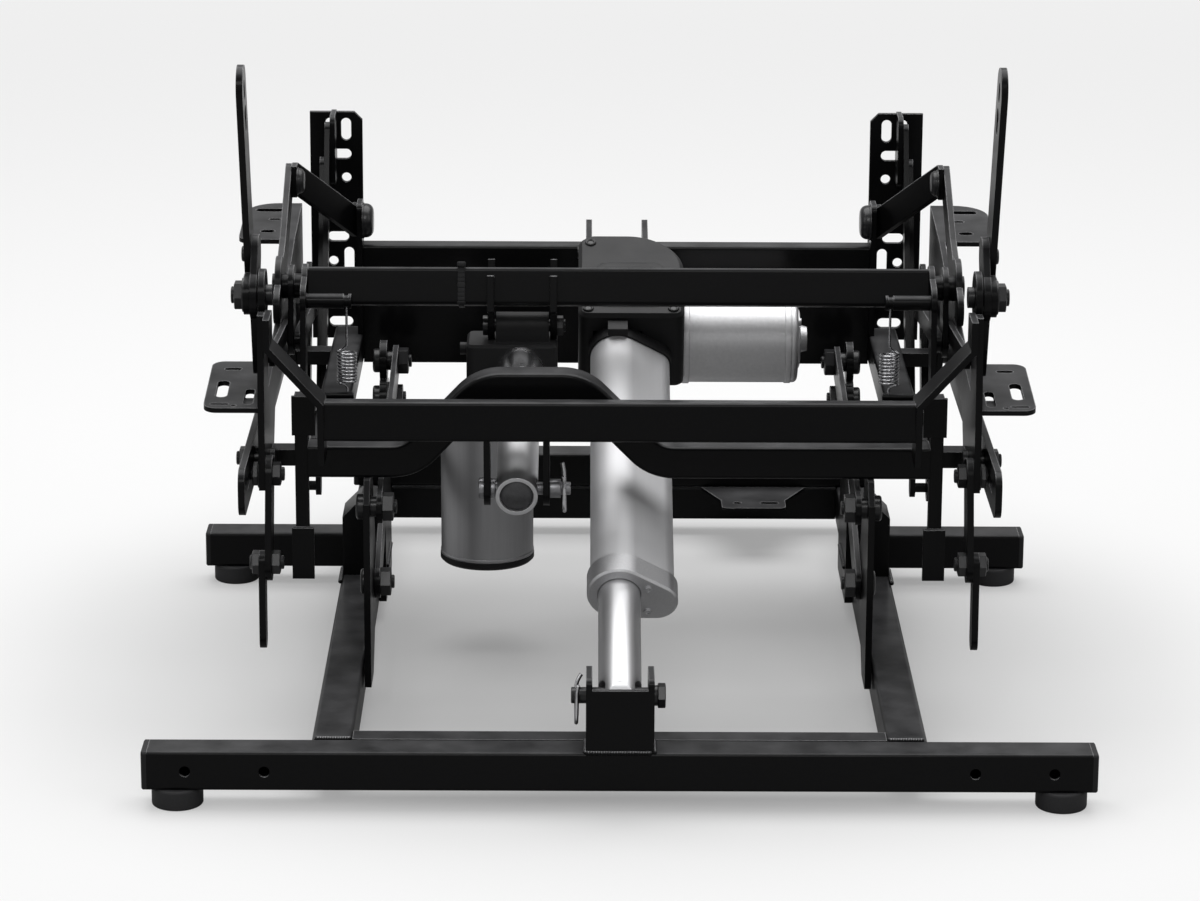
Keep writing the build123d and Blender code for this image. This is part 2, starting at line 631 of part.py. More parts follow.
def brace_plates():
    """Plates beside the drive tube that stand on the rails and hold the spring posts."""
    profile = bar_profile(SPRING_POST, DRIVE_CENTRE, BRACE_HALF_WIDTH + 2) + disc(DRIVE_CENTRE, 18)
    profile += bar_profile(SPRING_POST, BRACE_FOOT, BRACE_HALF_WIDTH)
    bore = DRIVE_JOURNAL_RADIUS + RUNNING_GAP
    plate = slab(drilled(profile, (DRIVE_CENTRE, bore)), BRACE_X, BRACE_SHEET)
    y, z = BRACE_FOOT
    foot_y = (y - BRACE_HALF_WIDTH, y + BRACE_HALF_WIDTH)
    foot = block((RAIL_OUT_X, BRACE_X), foot_y, (z - BRACE_FOOT_DEPTH, z + BRACE_FOOT_RISE))
    return both_sides(plate + foot)


def tie_end(x_from, y_from, z_from):
    """Upright end plate of a tie."""
    x = (x_from, x_from + BRACE_SHEET)
    return block(x, (y_from, y_from + TIE_END_LENGTH), (z_from, z_from + TIE_HEIGHT))


def front_ties():
    """Flat ties from the seat plates' arms forward and in to the beam end plates."""
    y, z = SEAT_ARM_PATH[-1]
    rear = tie_end(SEAT_PLATE_X - BRACE_SHEET, y - TIE_END_LENGTH + BRACE_SHEET, z - TIE_HEIGHT / 2)
    front = tie_end(RAIL_X + BRACE_SHEET, BEAM_Y, BEAM_END_TOP_Z - TIE_DROP)
    start = rear.faces().sort_by(Axis.Y)[-1]
    end = front.faces().sort_by(Axis.Y)[0]
    return both_sides(rear + loft([start, end], ruled=True) + front)


def mechanism_rails():
    """Long flat rails outside the seat plates."""
    profile = Pos((MECHANISM_RAIL_Y[0] + MECHANISM_RAIL_Y[1]) / 2, sum(MECHANISM_RAIL_Z) / 2)
    length = MECHANISM_RAIL_Y[1] - MECHANISM_RAIL_Y[0]
    profile *= RectangleRounded(length, MECHANISM_RAIL_Z[1] - MECHANISM_RAIL_Z[0], 12)
    profile = drilled(profile, *[(place, LIFT_BOLT_RADIUS) for place in SEAT_BOLTS])
    for y in (140, 320, 400):
        profile -= Pos(y, sum(MECHANISM_RAIL_Z) / 2) * SlotOverall(26, 9)
    return both_sides(slab(profile, MECHANISM_RAIL_X, ARM_SHEET))


def seat_bolts():
    """Bolts and spacers between the seat plates and the mechanism rails."""
    pieces = []
    outer = MECHANISM_RAIL_X + ARM_SHEET
    inner = SEAT_PLATE_X + ARM_SHEET
    for place in SEAT_BOLTS:
        piece = rod(place, SEAT_PLATE_X, outer + 8, LIFT_BOLT_RADIUS)
        piece += rod(place, SEAT_PLATE_X - 4, SEAT_PLATE_X, LIFT_SPACER_RADIUS)
        piece += rod(place, inner, MECHANISM_RAIL_X, LIFT_SPACER_RADIUS + 1)
        piece += hexagon_nut(place, outer, 6, 9, LIFT_BOLT_RADIUS)
        pieces += both_sides(piece)
    return pieces


def side_posts():
    """Upright bars outside the rails with a tab at each end."""
    x = RAIL_X + RAIL_TUBE
    bar = block((x, x + 10), (199, 211), (111, 257))
    upper = block((x - 6, x + 12), (196, 199), (226, 257))
    lower = block((x - 4, x + 13), (196, 199), (111, 152))
    return both_sides(bar + upper + lower)


def rear_levers():
    """Levers under the rear ends of the seat plates, each of two plates."""
    upper_x = SEAT_PLATE_X - ARM_SHEET
    lower_x = SEAT_PLATE_X
    bore = LIFT_BOLT_RADIUS
    upper = drilled(bar_profile(LEVER_TOP, LEVER_LOW, LEVER_HALF_WIDTH), (LEVER_TOP, bore), (LEVER_LOW, bore))
    lower = drilled(bar_profile(LEVER_LOW, LEVER_TIP, LEVER_TIP_HALF_WIDTH), (LEVER_LOW, bore))
    return both_sides(slab(upper, upper_x, ARM_SHEET)) + both_sides(slab(lower, lower_x, ARM_SHEET))


def lever_bolts():
    """Bolts with nuts that hold the levers."""
    pieces = []
    inner = SEAT_PLATE_X - ARM_SHEET
    for place in (LEVER_TOP, LEVER_LOW):
        piece = rod(place, inner - 8, SEAT_FACE_X + 6, LIFT_BOLT_RADIUS)
        piece += hexagon_nut(place, inner - 6, 6, 9, LIFT_BOLT_RADIUS)
        piece += hexagon_nut(place, SEAT_FACE_X, 5, 9, LIFT_BOLT_RADIUS)
        pieces += both_sides(piece)
    return pieces


def arm_bolts():
    """Domed bolts that hold the ties to the seat plates' arms."""
    y, z = SEAT_ARM_PATH[-1]
    place = (y - TIE_END_LENGTH / 2 + BRACE_SHEET - ARM_BOLT_BACK, z)
    face = SEAT_PLATE_X - BRACE_SHEET
    head = rod(place, face - BOLT_HEAD_HEIGHT, face, ARM_BOLT_RADIUS)
    return both_sides(fillet(head.edges().sort_by(Axis.X)[0], ARM_BOLT_DOME))


def cross_brackets():
    """Short bars from the rails out to the seat plates."""
    x = (RAIL_X + RAIL_TUBE, SEAT_PLATE_X)
    rear = block(x, (213, 231), (197, 210))
    front = block(x, (501, 518), (202, 214))
    return both_sides(rear) + both_sides(front)


def seat_profile():
    """Side plate under the seat, with the lobes of its two main pivots."""
    rear_low, rear_high = REAR_FLANGE_Z
    front_low, front_high = FRONT_FLANGE_Z
    points = [(148, 196), (236, 196), (262, 236), (478, 240), (500, 196), (560, 196), (602, 250)]
    points += [(FRONT_FLANGE_Y[1], front_high), (FRONT_FLANGE_Y[0], front_low), (440, 296), (280, 272)]
    points += [(REAR_FLANGE_Y[1], rear_high), (196, 263.6), (196, 330), (158, 330), (148, rear_low)]
    face = make_face(Polyline(*points, close=True))
    face += disc(DRIVE_CENTRE, 24) + disc(BACK_PIVOT, 20)
    for start, end in zip(SEAT_ARM_PATH, SEAT_ARM_PATH[1:]):
        face += bar_profile(start, end, SEAT_ARM_HALF_WIDTH)
    return drilled(face, (LEVER_TOP, LIFT_BOLT_RADIUS))


def flange(y, z, far_radius):
    """Bent top of the seat plate, sloping up to the front."""
    under = SEAT_FLANGE_THICKNESS
    inner = SEAT_PLATE_X + ARM_SHEET
    profile = outline([(y[0], z[0] - under), (y[1], z[1] - under), (y[1], z[1]), (y[0], z[0])])
    sheet = slab(profile, inner, SEAT_FLANGE_OUT_X - inner)
    corners = Rectangle(SEAT_FLANGE_OUT_X - inner, y[1] - y[0])
    far, near = corners.vertices().group_by(Axis.X)[-1].sort_by(Axis.Y, reverse=True)
    corners = fillet(far, far_radius)
    corners = fillet(corners.vertices().sort_by_distance(Vertex(*near))[0], FLANGE_ROUND)
    middle = ((inner + SEAT_FLANGE_OUT_X) / 2, (y[0] + y[1]) / 2)
    mask = extrude(Pos(*middle, z[0] - 20) * corners, amount=60)
    return sheet & mask


def slot_cut(x, y, length, width, turn):
    """Upright cutter for a slot through a flange."""
    middle = (REAR_FLANGE_Z[0] + FRONT_FLANGE_Z[1]) / 2
    slot = SlotOverall(length, width) if length > width else Circle(width / 2)
    return Pos(x, y, middle) * Rot(0, 0, turn) * extrude(slot, amount=TUBE, both=True)


def seat_plates():
    """Side plates with bent flanges that the seat frame is screwed to."""
    profile = drilled(seat_profile(), (DRIVE_CENTRE, DRIVE_JOURNAL_RADIUS + RUNNING_GAP),
                      (BACK_PIVOT, BACK_PIN_RADIUS + RUNNING_GAP))
    profile = drilled(profile, *[(place, LIFT_BOLT_RADIUS) for place in SEAT_BOLTS])
    profile = drilled(profile, (FOOT_MAIN_PIVOT, FOOT_PIN_RADIUS), (FOOT_CONTROL_PIVOT, FOOT_PIN_RADIUS))
    plate = slab(profile, SEAT_PLATE_X, ARM_SHEET)
    rear = flange(REAR_FLANGE_Y, REAR_FLANGE_Z, FLANGE_ROUND)
    for slot in REAR_FLANGE_SLOTS:
        rear -= slot_cut(*slot)
    front = flange(FRONT_FLANGE_Y, FRONT_FLANGE_Z, FRONT_FLANGE_ROUND)
    for slot in FRONT_FLANGE_SLOTS:
        front -= slot_cut(*slot)
    return both_sides(plate + rear + front)


def rear_cross_tube():
    """Tilted square tube across the back of the carriage."""
    tube = square_tube(TUBE, 2 * REAR_TUBE_HALF_LENGTH)
    return [along_x(tube, -REAR_TUBE_TILT, REAR_TUBE_CENTRE)]


def rear_straps():
    """Bent straps from the seat plates down to the ends of the rear tube."""
    outer = SEAT_PLATE_X
    inner = REAR_TUBE_HALF_LENGTH + STRAP_SHEET
    upper, lower = STRAP_BEND_Z
    line = Polyline((outer, STRAP_TOP_Z), (outer, upper), (inner, lower), (inner, STRAP_BOTTOM_Z))
    inside = Polyline((outer - STRAP_SHEET, STRAP_TOP_Z), (outer - STRAP_SHEET, upper + 2),
                      (inner - STRAP_SHEET, lower + 2), (inner - STRAP_SHEET, STRAP_BOTTOM_Z))
    face = make_face([*line.edges(), *inside.edges(), Line(line @ 0, inside @ 0), Line(line @ 1, inside @ 1)])
    front = REAR_TUBE_CENTRE[0] + STRAP_WIDTH / 2
    return both_sides(extrude(Plane.XZ.offset(-front) * face, amount=STRAP_WIDTH))


def recline_rear_ears():
    """Two ears under the rear tube for the recline rod."""
    start = (REAR_TUBE_CENTRE[0], REAR_TUBE_CENTRE[1] - HALF_TUBE - 3)
    profile = bar_profile(start, RECLINE_REAR_PIN, 13) - disc(RECLINE_REAR_PIN, RECLINE_PIN_RADIUS)
    profile &= Pos(start[0], start[1] - 50) * Rectangle(100, 100)
    tube = along_x(Box(2 * RAIL_X, TUBE, TUBE), -REAR_TUBE_TILT, REAR_TUBE_CENTRE)
    half = RECLINE_ROD_RADIUS + RECLINE_EAR_GAP
    top = bar_profile(REAR_TUBE_CENTRE, start, 13)
    pieces = []
    for x in (RECLINE_X - half - ARM_SHEET, RECLINE_X + half):
        pieces.append(slab(profile + top, x, ARM_SHEET) - tube)
    return [ear.solids().sort_by(Axis.Z)[0] for ear in pieces]


def recline_rear_pin():
    """Headed pin of the recline rod."""
    half = RECLINE_ROD_RADIUS + RECLINE_EAR_GAP + ARM_SHEET
    pin = rod(RECLINE_REAR_PIN, RECLINE_X - half, RECLINE_X + half + 12, RECLINE_PIN_RADIUS)
    pin += rod(RECLINE_REAR_PIN, RECLINE_X - half - 4, RECLINE_X - half, RECLINE_PIN_RADIUS + 3)
    cross = Cylinder(CLIP_WIRE / 2, 4 * RECLINE_PIN_RADIUS)
    return [pin - Pos(RECLINE_X + half + 7, *RECLINE_REAR_PIN) * cross]


def recline_r_clip():
    """Spring clip that keeps the recline pin."""
    x = RECLINE_X + RECLINE_ROD_RADIUS + RECLINE_EAR_GAP + ARM_SHEET + 7
    return [spring_clip(x, RECLINE_REAR_PIN, RECLINE_PIN_RADIUS, 90)]


def spring_anchor():
    """Place of the spring's lower pin, which lies on the rail."""
    return (SPRING_POST[0], ARCH_LOW_Z + HALF_RAIL + SPRING_ANCHOR_RADIUS)


def spring_posts():
    """Round posts on the brace plates for the return springs, and their lower pins."""
    post = rod(SPRING_POST, SPRING_X - 4, BRACE_X, SPRING_POST_RADIUS)
    groove = rod(SPRING_POST, SPRING_X - 2, SPRING_X + 2, SPRING_POST_RADIUS)
    groove -= rod(SPRING_POST, SPRING_X - 2, SPRING_X + 2, SPRING_POST_RADIUS - SPRING_GROOVE)
    anchor = rod(spring_anchor(), SPRING_X - 5, RAIL_OUT_X, SPRING_ANCHOR_RADIUS)
    return both_sides(post - groove) + both_sides(anchor)


def biarc(start, start_tangent, end, end_tangent):
    """Two tangent arcs from one point and direction to another."""
    chord = end - start
    both = start_tangent + end_tangent
    spread = 2 * (1 - start_tangent.dot(end_tangent))
    lean = chord.dot(both)
    if spread < 1e-9:
        reach = chord.dot(chord) / (2 * lean)
    else:
        reach = (math.sqrt(lean * lean + spread * chord.dot(chord)) - lean) / spread
    joint = (start + end + (start_tangent - end_tangent) * reach) / 2
    first = TangentArc(start, joint, tangent=start_tangent)
    second = TangentArc(joint, end, tangent=first % 1)
    return [first, second]


def helix_point(turns, radius, pitch):
    """Place and direction on a helix that climbs along Z."""
    angle = 2 * math.pi * turns
    place = Vector(radius * math.cos(angle), radius * math.sin(angle), pitch * turns)
    run = Vector(-radius * math.sin(angle), radius * math.cos(angle), pitch / (2 * math.pi))
    return place, run.normalized()


def coil_spring(length):
    """Extension spring along Z, as long as given, with straight ends on its axis."""
    climb = SPRING_TURNS * SPRING_PITCH
    start_z = SPRING_LOW_LEAD + SPRING_WIRE
    places = [(Vector(0, 0, 0), Vector(0, 0, 1)), (Vector(0, 0, SPRING_WIRE), Vector(0, 0, 1))]
    for half_turn in range(2 * SPRING_TURNS + 1):
        place, direction = helix_point(half_turn / 2, SPRING_COIL_RADIUS, SPRING_PITCH)
        places.append((place + Vector(0, 0, start_z), direction))
    places.append((Vector(0, 0, start_z + climb + SPRING_HIGH_LEAD), Vector(0, 0, 1)))
    places.append((Vector(0, 0, length), Vector(0, 0, 1)))
    edges = [Line(places[0][0], places[1][0])]
    for (start, start_way), (end, end_way) in zip(places[1:-2], places[2:-1]):
        edges += biarc(start, start_way, end, end_way)
    edges.append(Line(places[-2][0], places[-1][0]))
    wire = Wire([edge for part in edges for edge in part.edges()])
    return wire, sweep(Circle(SPRING_WIRE / 2), path=wire)


def least_gap(wire):
    """Smallest clear distance between a spring's neighbouring turns."""
    count = 60 * SPRING_TURNS
    points = [wire @ (index / count) for index in range(count + 1)]
    apart = int(count / SPRING_TURNS / 2)
    least = wire.length
    for index, point in enumerate(points):
        for other in points[index + apart:index + 3 * apart]:
            least = min(least, (point - other).length)
    return least - SPRING_WIRE


def return_springs():
    """Upright coil springs from the lower pins to the posts."""
    low = spring_anchor()[1] + SPRING_ANCHOR_RADIUS
    high = SPRING_POST[1] - SPRING_POST_RADIUS + SPRING_GROOVE
    wire, spring = coil_spring(high - low)
    print("spring: least gap between turns", round(least_gap(wire), 2), "mm")
    return both_sides(Pos(SPRING_X, SPRING_POST[0], low) * spring)


def lift_frame(piece):
    """Set a piece drawn along the lift actuator's own axis at its front pin."""
    return Pos(0, *LIFT_FRONT_PIN) * Rot(LIFT_SLOPE, 0, 0) * piece


def barrel_section(growth=0.0):
    """Pear-shaped section of the lift barrel in (X, Z)."""
    small_x, small_z = BARREL_SMALL_CENTRE
    big = BARREL_BIG_RADIUS + growth
    small = BARREL_SMALL_RADIUS + growth
    section = make_hull([*Circle(big).edges(), *(Pos(small_x, small_z) * Circle(small)).edges()])
    return section


def prism_y(section, y_from, y_to):
    """Section drawn in (X, Z), extruded along Y."""
    return extrude(Plane.XZ.offset(-y_to) * section, amount=y_to - y_from)


def lift_barrel():
    """Hollow aluminium barrel of the lift actuator."""
    end = -LIFT_GEARBOX_LENGTH
    solid = prism_y(barrel_section(), end - BARREL_LENGTH, end)
    bore = prism_y(Circle(BARREL_BIG_RADIUS - BARREL_WALL), end - BARREL_LENGTH, end)
    small = Pos(*BARREL_SMALL_CENTRE) * Circle(BARREL_SMALL_RADIUS - BARREL_WALL)
    return [lift_frame(solid - bore - prism_y(small, end - BARREL_LENGTH, end))]


def lift_end_flange():
    """End cap of the barrel with the rod's bore."""
    end = -LIFT_GEARBOX_LENGTH - BARREL_LENGTH
    cap = prism_y(barrel_section(LIFT_FLANGE_GROWTH), end - LIFT_FLANGE_LENGTH, end)
    cap = chamfer(cap.faces().sort_by(Axis.Y)[0].edges(), 1.5)
    bore = prism_y(Circle(LIFT_ROD_RADIUS + ROD_GAP), end - LIFT_FLANGE_LENGTH, end)
    return [lift_frame(cap - bore)]


def lift_flange_screws():
    """Two screws in the end cap."""
    end = -LIFT_GEARBOX_LENGTH - BARREL_LENGTH - LIFT_FLANGE_LENGTH
    pieces = []
    for x, z in FLANGE_SCREWS:
        head = prism_y(Pos(x, z) * Circle(FLANGE_SCREW_RADIUS), end - 2, end)
        socket = prism_y(Pos(x, z) * RegularPolygon(FLANGE_SCREW_RADIUS / 2, 6), end - 2, end - 0.8)
        pieces.append(lift_frame(head - socket))
    return pieces


def lift_clamp_band():
    """Band around the barrel at the gearbox with its buckle."""
    band_y = (-LIFT_GEARBOX_LENGTH - 12, -LIFT_GEARBOX_LENGTH)
    band = prism_y(barrel_section(1.6) - barrel_section(), *band_y)
    buckle = block((-8, 8), band_y, (BARREL_BIG_RADIUS + 1, BARREL_BIG_RADIUS + 7))
    return [lift_frame(band + buckle)]


def lift_gearbox():
    """Plastic gear housing with the lug of the front pin."""
    y = (-LIFT_GEARBOX_LENGTH, -20.0)
    plan = Rectangle(GEARBOX_X[1] - GEARBOX_X[0], y[1] - y[0])
    far = plan.vertices().group_by(Axis.Y)[-1].sort_by(Axis.X)
    plan = fillet(far[-1], 46)
    plan = fillet(plan.vertices().group_by(Axis.Y)[-1].sort_by(Axis.X)[0], 14)
    plan = fillet(plan.vertices().group_by(Axis.Y)[0], 8)
    centre = (sum(GEARBOX_X) / 2, sum(y) / 2)
    low, high = GEARBOX_Z
    body = extrude(Pos(*centre, low) * plan, amount=high - low)
    body = chamfer(body.faces().sort_by(Axis.Z)[-1].edges(), 3.0)
    cavity = block((-20, 20), (y[0], y[0] + 70), (-18, 18))
    lug = slab(bar_profile((-28, 0), (0, 0), 12), -LUG_HALF_WIDTH, 2 * LUG_HALF_WIDTH)
    for x in (-18, 2):
        lug += block((x, x + 12), (-10, 15), (-5, 5))
    lug -= rod((0, 0), -LUG_HALF_WIDTH, LUG_HALF_WIDTH, LIFT_FRONT_PIN_RADIUS + RUNNING_GAP)
    return [lift_frame(body - cavity + lug)]


def lift_motor_can():
    """Round motor beside the gear housing."""
    y, z = LIFT_MOTOR_PLACE
    can = rod((y, z), GEARBOX_X[1], GEARBOX_X[1] + LIFT_MOTOR_LENGTH, LIFT_MOTOR_RADIUS)
    return [lift_frame(fillet(can.edges().sort_by(Axis.X)[-1], 4.0))]


def lift_motor_boss():
    """Bearing boss on the motor's end."""
    y, z = LIFT_MOTOR_PLACE
    start = GEARBOX_X[1] + LIFT_MOTOR_LENGTH
    plane = Plane(origin=(start, y, z), x_dir=(0, 1, 0), z_dir=(1, 0, 0))
    return [lift_frame(extrude(plane * Circle(12), amount=8, taper=15))]


def lift_lead_screw():
    """Screw inside the barrel that drives the rod."""
    end = -LIFT_GEARBOX_LENGTH - BARREL_LENGTH + 20
    return [lift_frame(prism_y(Circle(SCREW_RADIUS), end, -LIFT_GEARBOX_LENGTH + 70))]


def lift_rod():
    """Round rod that pushes on the clevis, with its eye at the end."""
    start = -LIFT_REACH
    tube = prism_y(Circle(LIFT_ROD_RADIUS), start, LIFT_ROD_TOP)
    tube -= prism_y(Circle(LIFT_ROD_RADIUS - LIFT_ROD_WALL), start + 22, LIFT_ROD_TOP)
    tip = rod((start, 0), -LIFT_ROD_RADIUS, LIFT_ROD_RADIUS, LIFT_EYE_OUTER_RADIUS)
    tip &= prism_y(Circle(LIFT_ROD_RADIUS), start - 20, start + 20)
    eye = rod((start, 0), -LIFT_ROD_RADIUS, LIFT_ROD_RADIUS, LIFT_EYE_RADIUS)
    return [lift_frame(tube + tip - eye)]


def lift_drive_nut():
    """Nut in the rod's inner end."""
    ring = Circle(BARREL_BIG_RADIUS - BARREL_WALL - 0.3) - Circle(SCREW_RADIUS + RUNNING_GAP)
    return [lift_frame(prism_y(ring, LIFT_ROD_TOP, LIFT_ROD_TOP + 16))]


def drive_tube():
    """Tilted square tube that the recline actuator turns."""
    tube = square_tube(TUBE, 2 * DRIVE_TUBE_HALF_LENGTH)
    return [along_x(tube, -DRIVE_TUBE_TILT, DRIVE_CENTRE)]


def drive_journals():
    """Plugs in the drive tube's ends with the round journals it turns on."""
    inside = TUBE - 2 * TUBE_WALL - 2 * CAP_FIT
    x = (DRIVE_TUBE_HALF_LENGTH - 20, DRIVE_TUBE_HALF_LENGTH)
    plug = extrude(Plane.YZ.offset(x[0]) * RectangleRounded(inside, inside, TUBE_ROUND), amount=x[1] - x[0])
    plug = along_x(plug, -DRIVE_TUBE_TILT, DRIVE_CENTRE)
    journal = rod(DRIVE_CENTRE, x[1], SEAT_PLATE_X + ARM_SHEET + 3, DRIVE_JOURNAL_RADIUS)
    return both_sides(plug + journal)


def drive_arms():
    """Arms on the journals with the pins of the drive and back links."""
    profile = bar_profile(DRIVE_CENTRE, DRIVE_ARM_PIN, 12) + disc(DRIVE_CENTRE, 17)
    profile += bar_profile(DRIVE_CENTRE, BACK_DRIVE_PIN, 11)
    profile = drilled(profile, (DRIVE_CENTRE, DRIVE_JOURNAL_RADIUS))
    arm = slab(profile, MAIN_X, LINK_SHEET)
    arm += rod(DRIVE_ARM_PIN, DRIVE_LINK_X - 2.5, MAIN_X, FOOT_PIN_RADIUS)
    arm += rod(DRIVE_ARM_PIN, DRIVE_LINK_X - 2.6, DRIVE_LINK_X - CLEAR, FOOT_PIN_RADIUS + 3)
    arm += rod(BACK_DRIVE_PIN, MAIN_X, CONTROL_X + LINK_SHEET, FOOT_PIN_RADIUS)
    return both_sides(arm)


def drive_ears():
    """Two ears that wrap the drive tube and hold the recline actuator below it."""
    half = TUBE / 2
    rear, front = -half - EAR_BORDER, half + EAR_BORDER
    plate = outline([(rear, rear), (front, rear), (front, half + EAR_FRONT_RISE), (half, half + EAR_FRONT_RISE),
                     (half, half - EAR_REAR_DROP), (rear, half - EAR_REAR_DROP)])
    turned = Pos(*DRIVE_CENTRE) * Rot(0, 0, -DRIVE_TUBE_TILT)
    profile = turned * plate + bar_profile(DRIVE_CENTRE, RECLINE_EAR_PIN, EAR_ARM_HALF_WIDTH)
    profile -= turned * Rectangle(TUBE, TUBE)
    profile = drilled(profile, (RECLINE_EAR_PIN, RECLINE_PIN_RADIUS))
    return [slab(profile, x, RECLINE_EAR_SHEET) for x in RECLINE_EARS_X]


def drive_ear_pin():
    """Headed pin between the ears."""
    left = RECLINE_EARS_X[0]
    right = RECLINE_EARS_X[1] + RECLINE_EAR_SHEET
    pin = rod(RECLINE_EAR_PIN, left - 4, right, RECLINE_PIN_RADIUS)
    pin += rod(RECLINE_EAR_PIN, left - 4, left, RECLINE_PIN_RADIUS + 3)
    return [pin + hexagon_nut(RECLINE_EAR_PIN, right, 5, 8, RECLINE_PIN_RADIUS)]


def recline_axis_point(along):
    """Place on the recline rod's axis, a length forward of its rear eye."""
    return polar(moved(RECLINE_REAR_PIN, RECLINE_EYE_SHIFT), along, RECLINE_SLOPE)


def recline_bar(radius, start, end):
    """Round bar along the recline rod's axis."""
    y, z = recline_axis_point(start)
    plane = Plane(origin=(RECLINE_X, y, z), x_dir=(1, 0, 0),
                  z_dir=(0, math.cos(math.radians(RECLINE_SLOPE)), math.sin(math.radians(RECLINE_SLOPE))))
    return extrude(plane * Circle(radius), amount=end - start)


def recline_gearbox():
    """Gear housing of the recline actuator with its lug."""
    body = block(RECLINE_BOX_X, RECLINE_BOX_Y, (RECLINE_MOTOR_TOP_Z, RECLINE_BOX_TOP_Z))
    body = fillet(body.edges().filter_by(Axis.Z), 6)
    body = chamfer(body.faces().sort_by(Axis.Z)[-1].edges(), 2.0)
    depth = (RECLINE_BOX_Y[0] - RECLINE_REAR_PIN[0]) / math.cos(math.radians(RECLINE_SLOPE))
    body -= recline_bar(RECLINE_ROD_RADIUS + ROD_GAP, depth - 10, depth + RECLINE_POCKET)
    lug = bar_profile((RECLINE_EAR_PIN[0], RECLINE_BOX_TOP_Z - 8), RECLINE_EAR_PIN, 11)
    lug -= disc(RECLINE_EAR_PIN, RECLINE_PIN_RADIUS + RUNNING_GAP)
    x = RECLINE_EARS_X[0] + RECLINE_EAR_SHEET + 1
    body += slab(lug, x, RECLINE_EARS_X[1] - 1 - x)
    body -= recline_bar(RECLINE_ROD_RADIUS + ROD_GAP, depth - 10, depth + RECLINE_POCKET)
    side = rod((388, 246), RECLINE_BOX_X[0] - 6, RECLINE_BOX_X[0], 5)
    return [body + side]


def recline_motor_can():
    """Upright motor under the recline gear housing."""
    height = RECLINE_MOTOR_TOP_Z - RECLINE_MOTOR_BOTTOM_Z - RECLINE_CAP_HEIGHT
    can = Cylinder(RECLINE_MOTOR_RADIUS, height, align=(Align.CENTER, Align.CENTER, Align.MIN))
    z = RECLINE_MOTOR_BOTTOM_Z + RECLINE_CAP_HEIGHT
    return [Pos(RECLINE_MOTOR_X, RECLINE_MOTOR_Y, z) * can]


def recline_motor_cap():
    """Ring cap at the motor's lower end."""
    cap = Cylinder(RECLINE_MOTOR_RADIUS + 0.7, RECLINE_CAP_HEIGHT, align=(Align.CENTER, Align.CENTER, Align.MIN))
    cap = chamfer(cap.edges().group_by(Axis.Z)[0], 2.0)
    recess = Cylinder(RECLINE_MOTOR_RADIUS - 12, 3, align=(Align.CENTER, Align.CENTER, Align.MIN))
    return [Pos(RECLINE_MOTOR_X, RECLINE_MOTOR_Y, RECLINE_MOTOR_BOTTOM_Z) * (cap - recess)]


def recline_collar():
    """Collar around the rod where it enters the housing."""
    depth = (RECLINE_BOX_Y[0] - RECLINE_REAR_PIN[0]) / math.cos(math.radians(RECLINE_SLOPE))
    ring = recline_bar(RECLINE_ROD_RADIUS + 4, depth - 26, depth + 10)
    ring -= recline_bar(RECLINE_ROD_RADIUS + ROD_GAP, depth - 26, depth + 10)
    ahead = block((-200, 0), (RECLINE_BOX_Y[0], RECLINE_BOX_Y[0] + 60), (150, 320))
    return [ring - ahead]


def recline_lead_screw():
    """Screw inside the recline rod."""
    depth = (RECLINE_BOX_Y[0] - RECLINE_REAR_PIN[0]) / math.cos(math.radians(RECLINE_SLOPE))
    return [recline_bar(SCREW_RADIUS, 70, depth + RECLINE_POCKET)]


def recline_rod():
    """Rod of the recline actuator with its rear eye."""
    depth = (RECLINE_BOX_Y[0] - RECLINE_REAR_PIN[0]) / math.cos(math.radians(RECLINE_SLOPE))
    top = depth + RECLINE_POCKET - 1.5
    eye_place = recline_axis_point(0)
    tube = recline_bar(RECLINE_ROD_RADIUS, -RECLINE_ROD_TAIL, top) - recline_bar(SCREW_RADIUS + 4, 30, top - 12)
    tube -= recline_bar(SCREW_RADIUS + RUNNING_GAP, 30, top)
    recess = RECLINE_PLUG_DEPTH - RECLINE_ROD_TAIL
    tube -= recline_bar(RECLINE_ROD_RADIUS - RECLINE_ROD_WALL, -RECLINE_ROD_TAIL, recess)
    eye = rod(eye_place, RECLINE_X - 2 * RECLINE_ROD_RADIUS, RECLINE_X + 2 * RECLINE_ROD_RADIUS, RECLINE_EYE_RADIUS)
    return [tube - eye]


def back_arms():
    """Long flat arms that the chair's back slides onto."""
    profile = bar_profile(BACK_ARM_FOOT, BACK_ARM_TOP, BACK_ARM_HALF_WIDTH)
    profile += bar_profile(BACK_PIVOT, BACK_ARM_FOOT, 15)
    lean = math.degrees(math.atan2(BACK_ARM_TOP[1] - BACK_ARM_FOOT[1], BACK_ARM_TOP[0] - BACK_ARM_FOOT[0]))
    slot = SlotOverall(BACK_SLOT_LENGTH, 2 * BACK_SLOT_RADIUS)
    profile -= Pos(*BACK_SLOT_PLACE) * Rot(0, 0, lean) * slot
    profile -= Pos(*BACK_KEYHOLE_PLACE) * Rot(0, 0, lean) * slot
    profile -= disc(polar(BACK_KEYHOLE_PLACE, BACK_SLOT_LENGTH / 2, lean), BACK_SLOT_RADIUS + 1.5)
    return both_sides(slab(drilled(profile, (BACK_PIVOT, BACK_PIN_RADIUS)), BACK_ARM_X, ARM_SHEET))


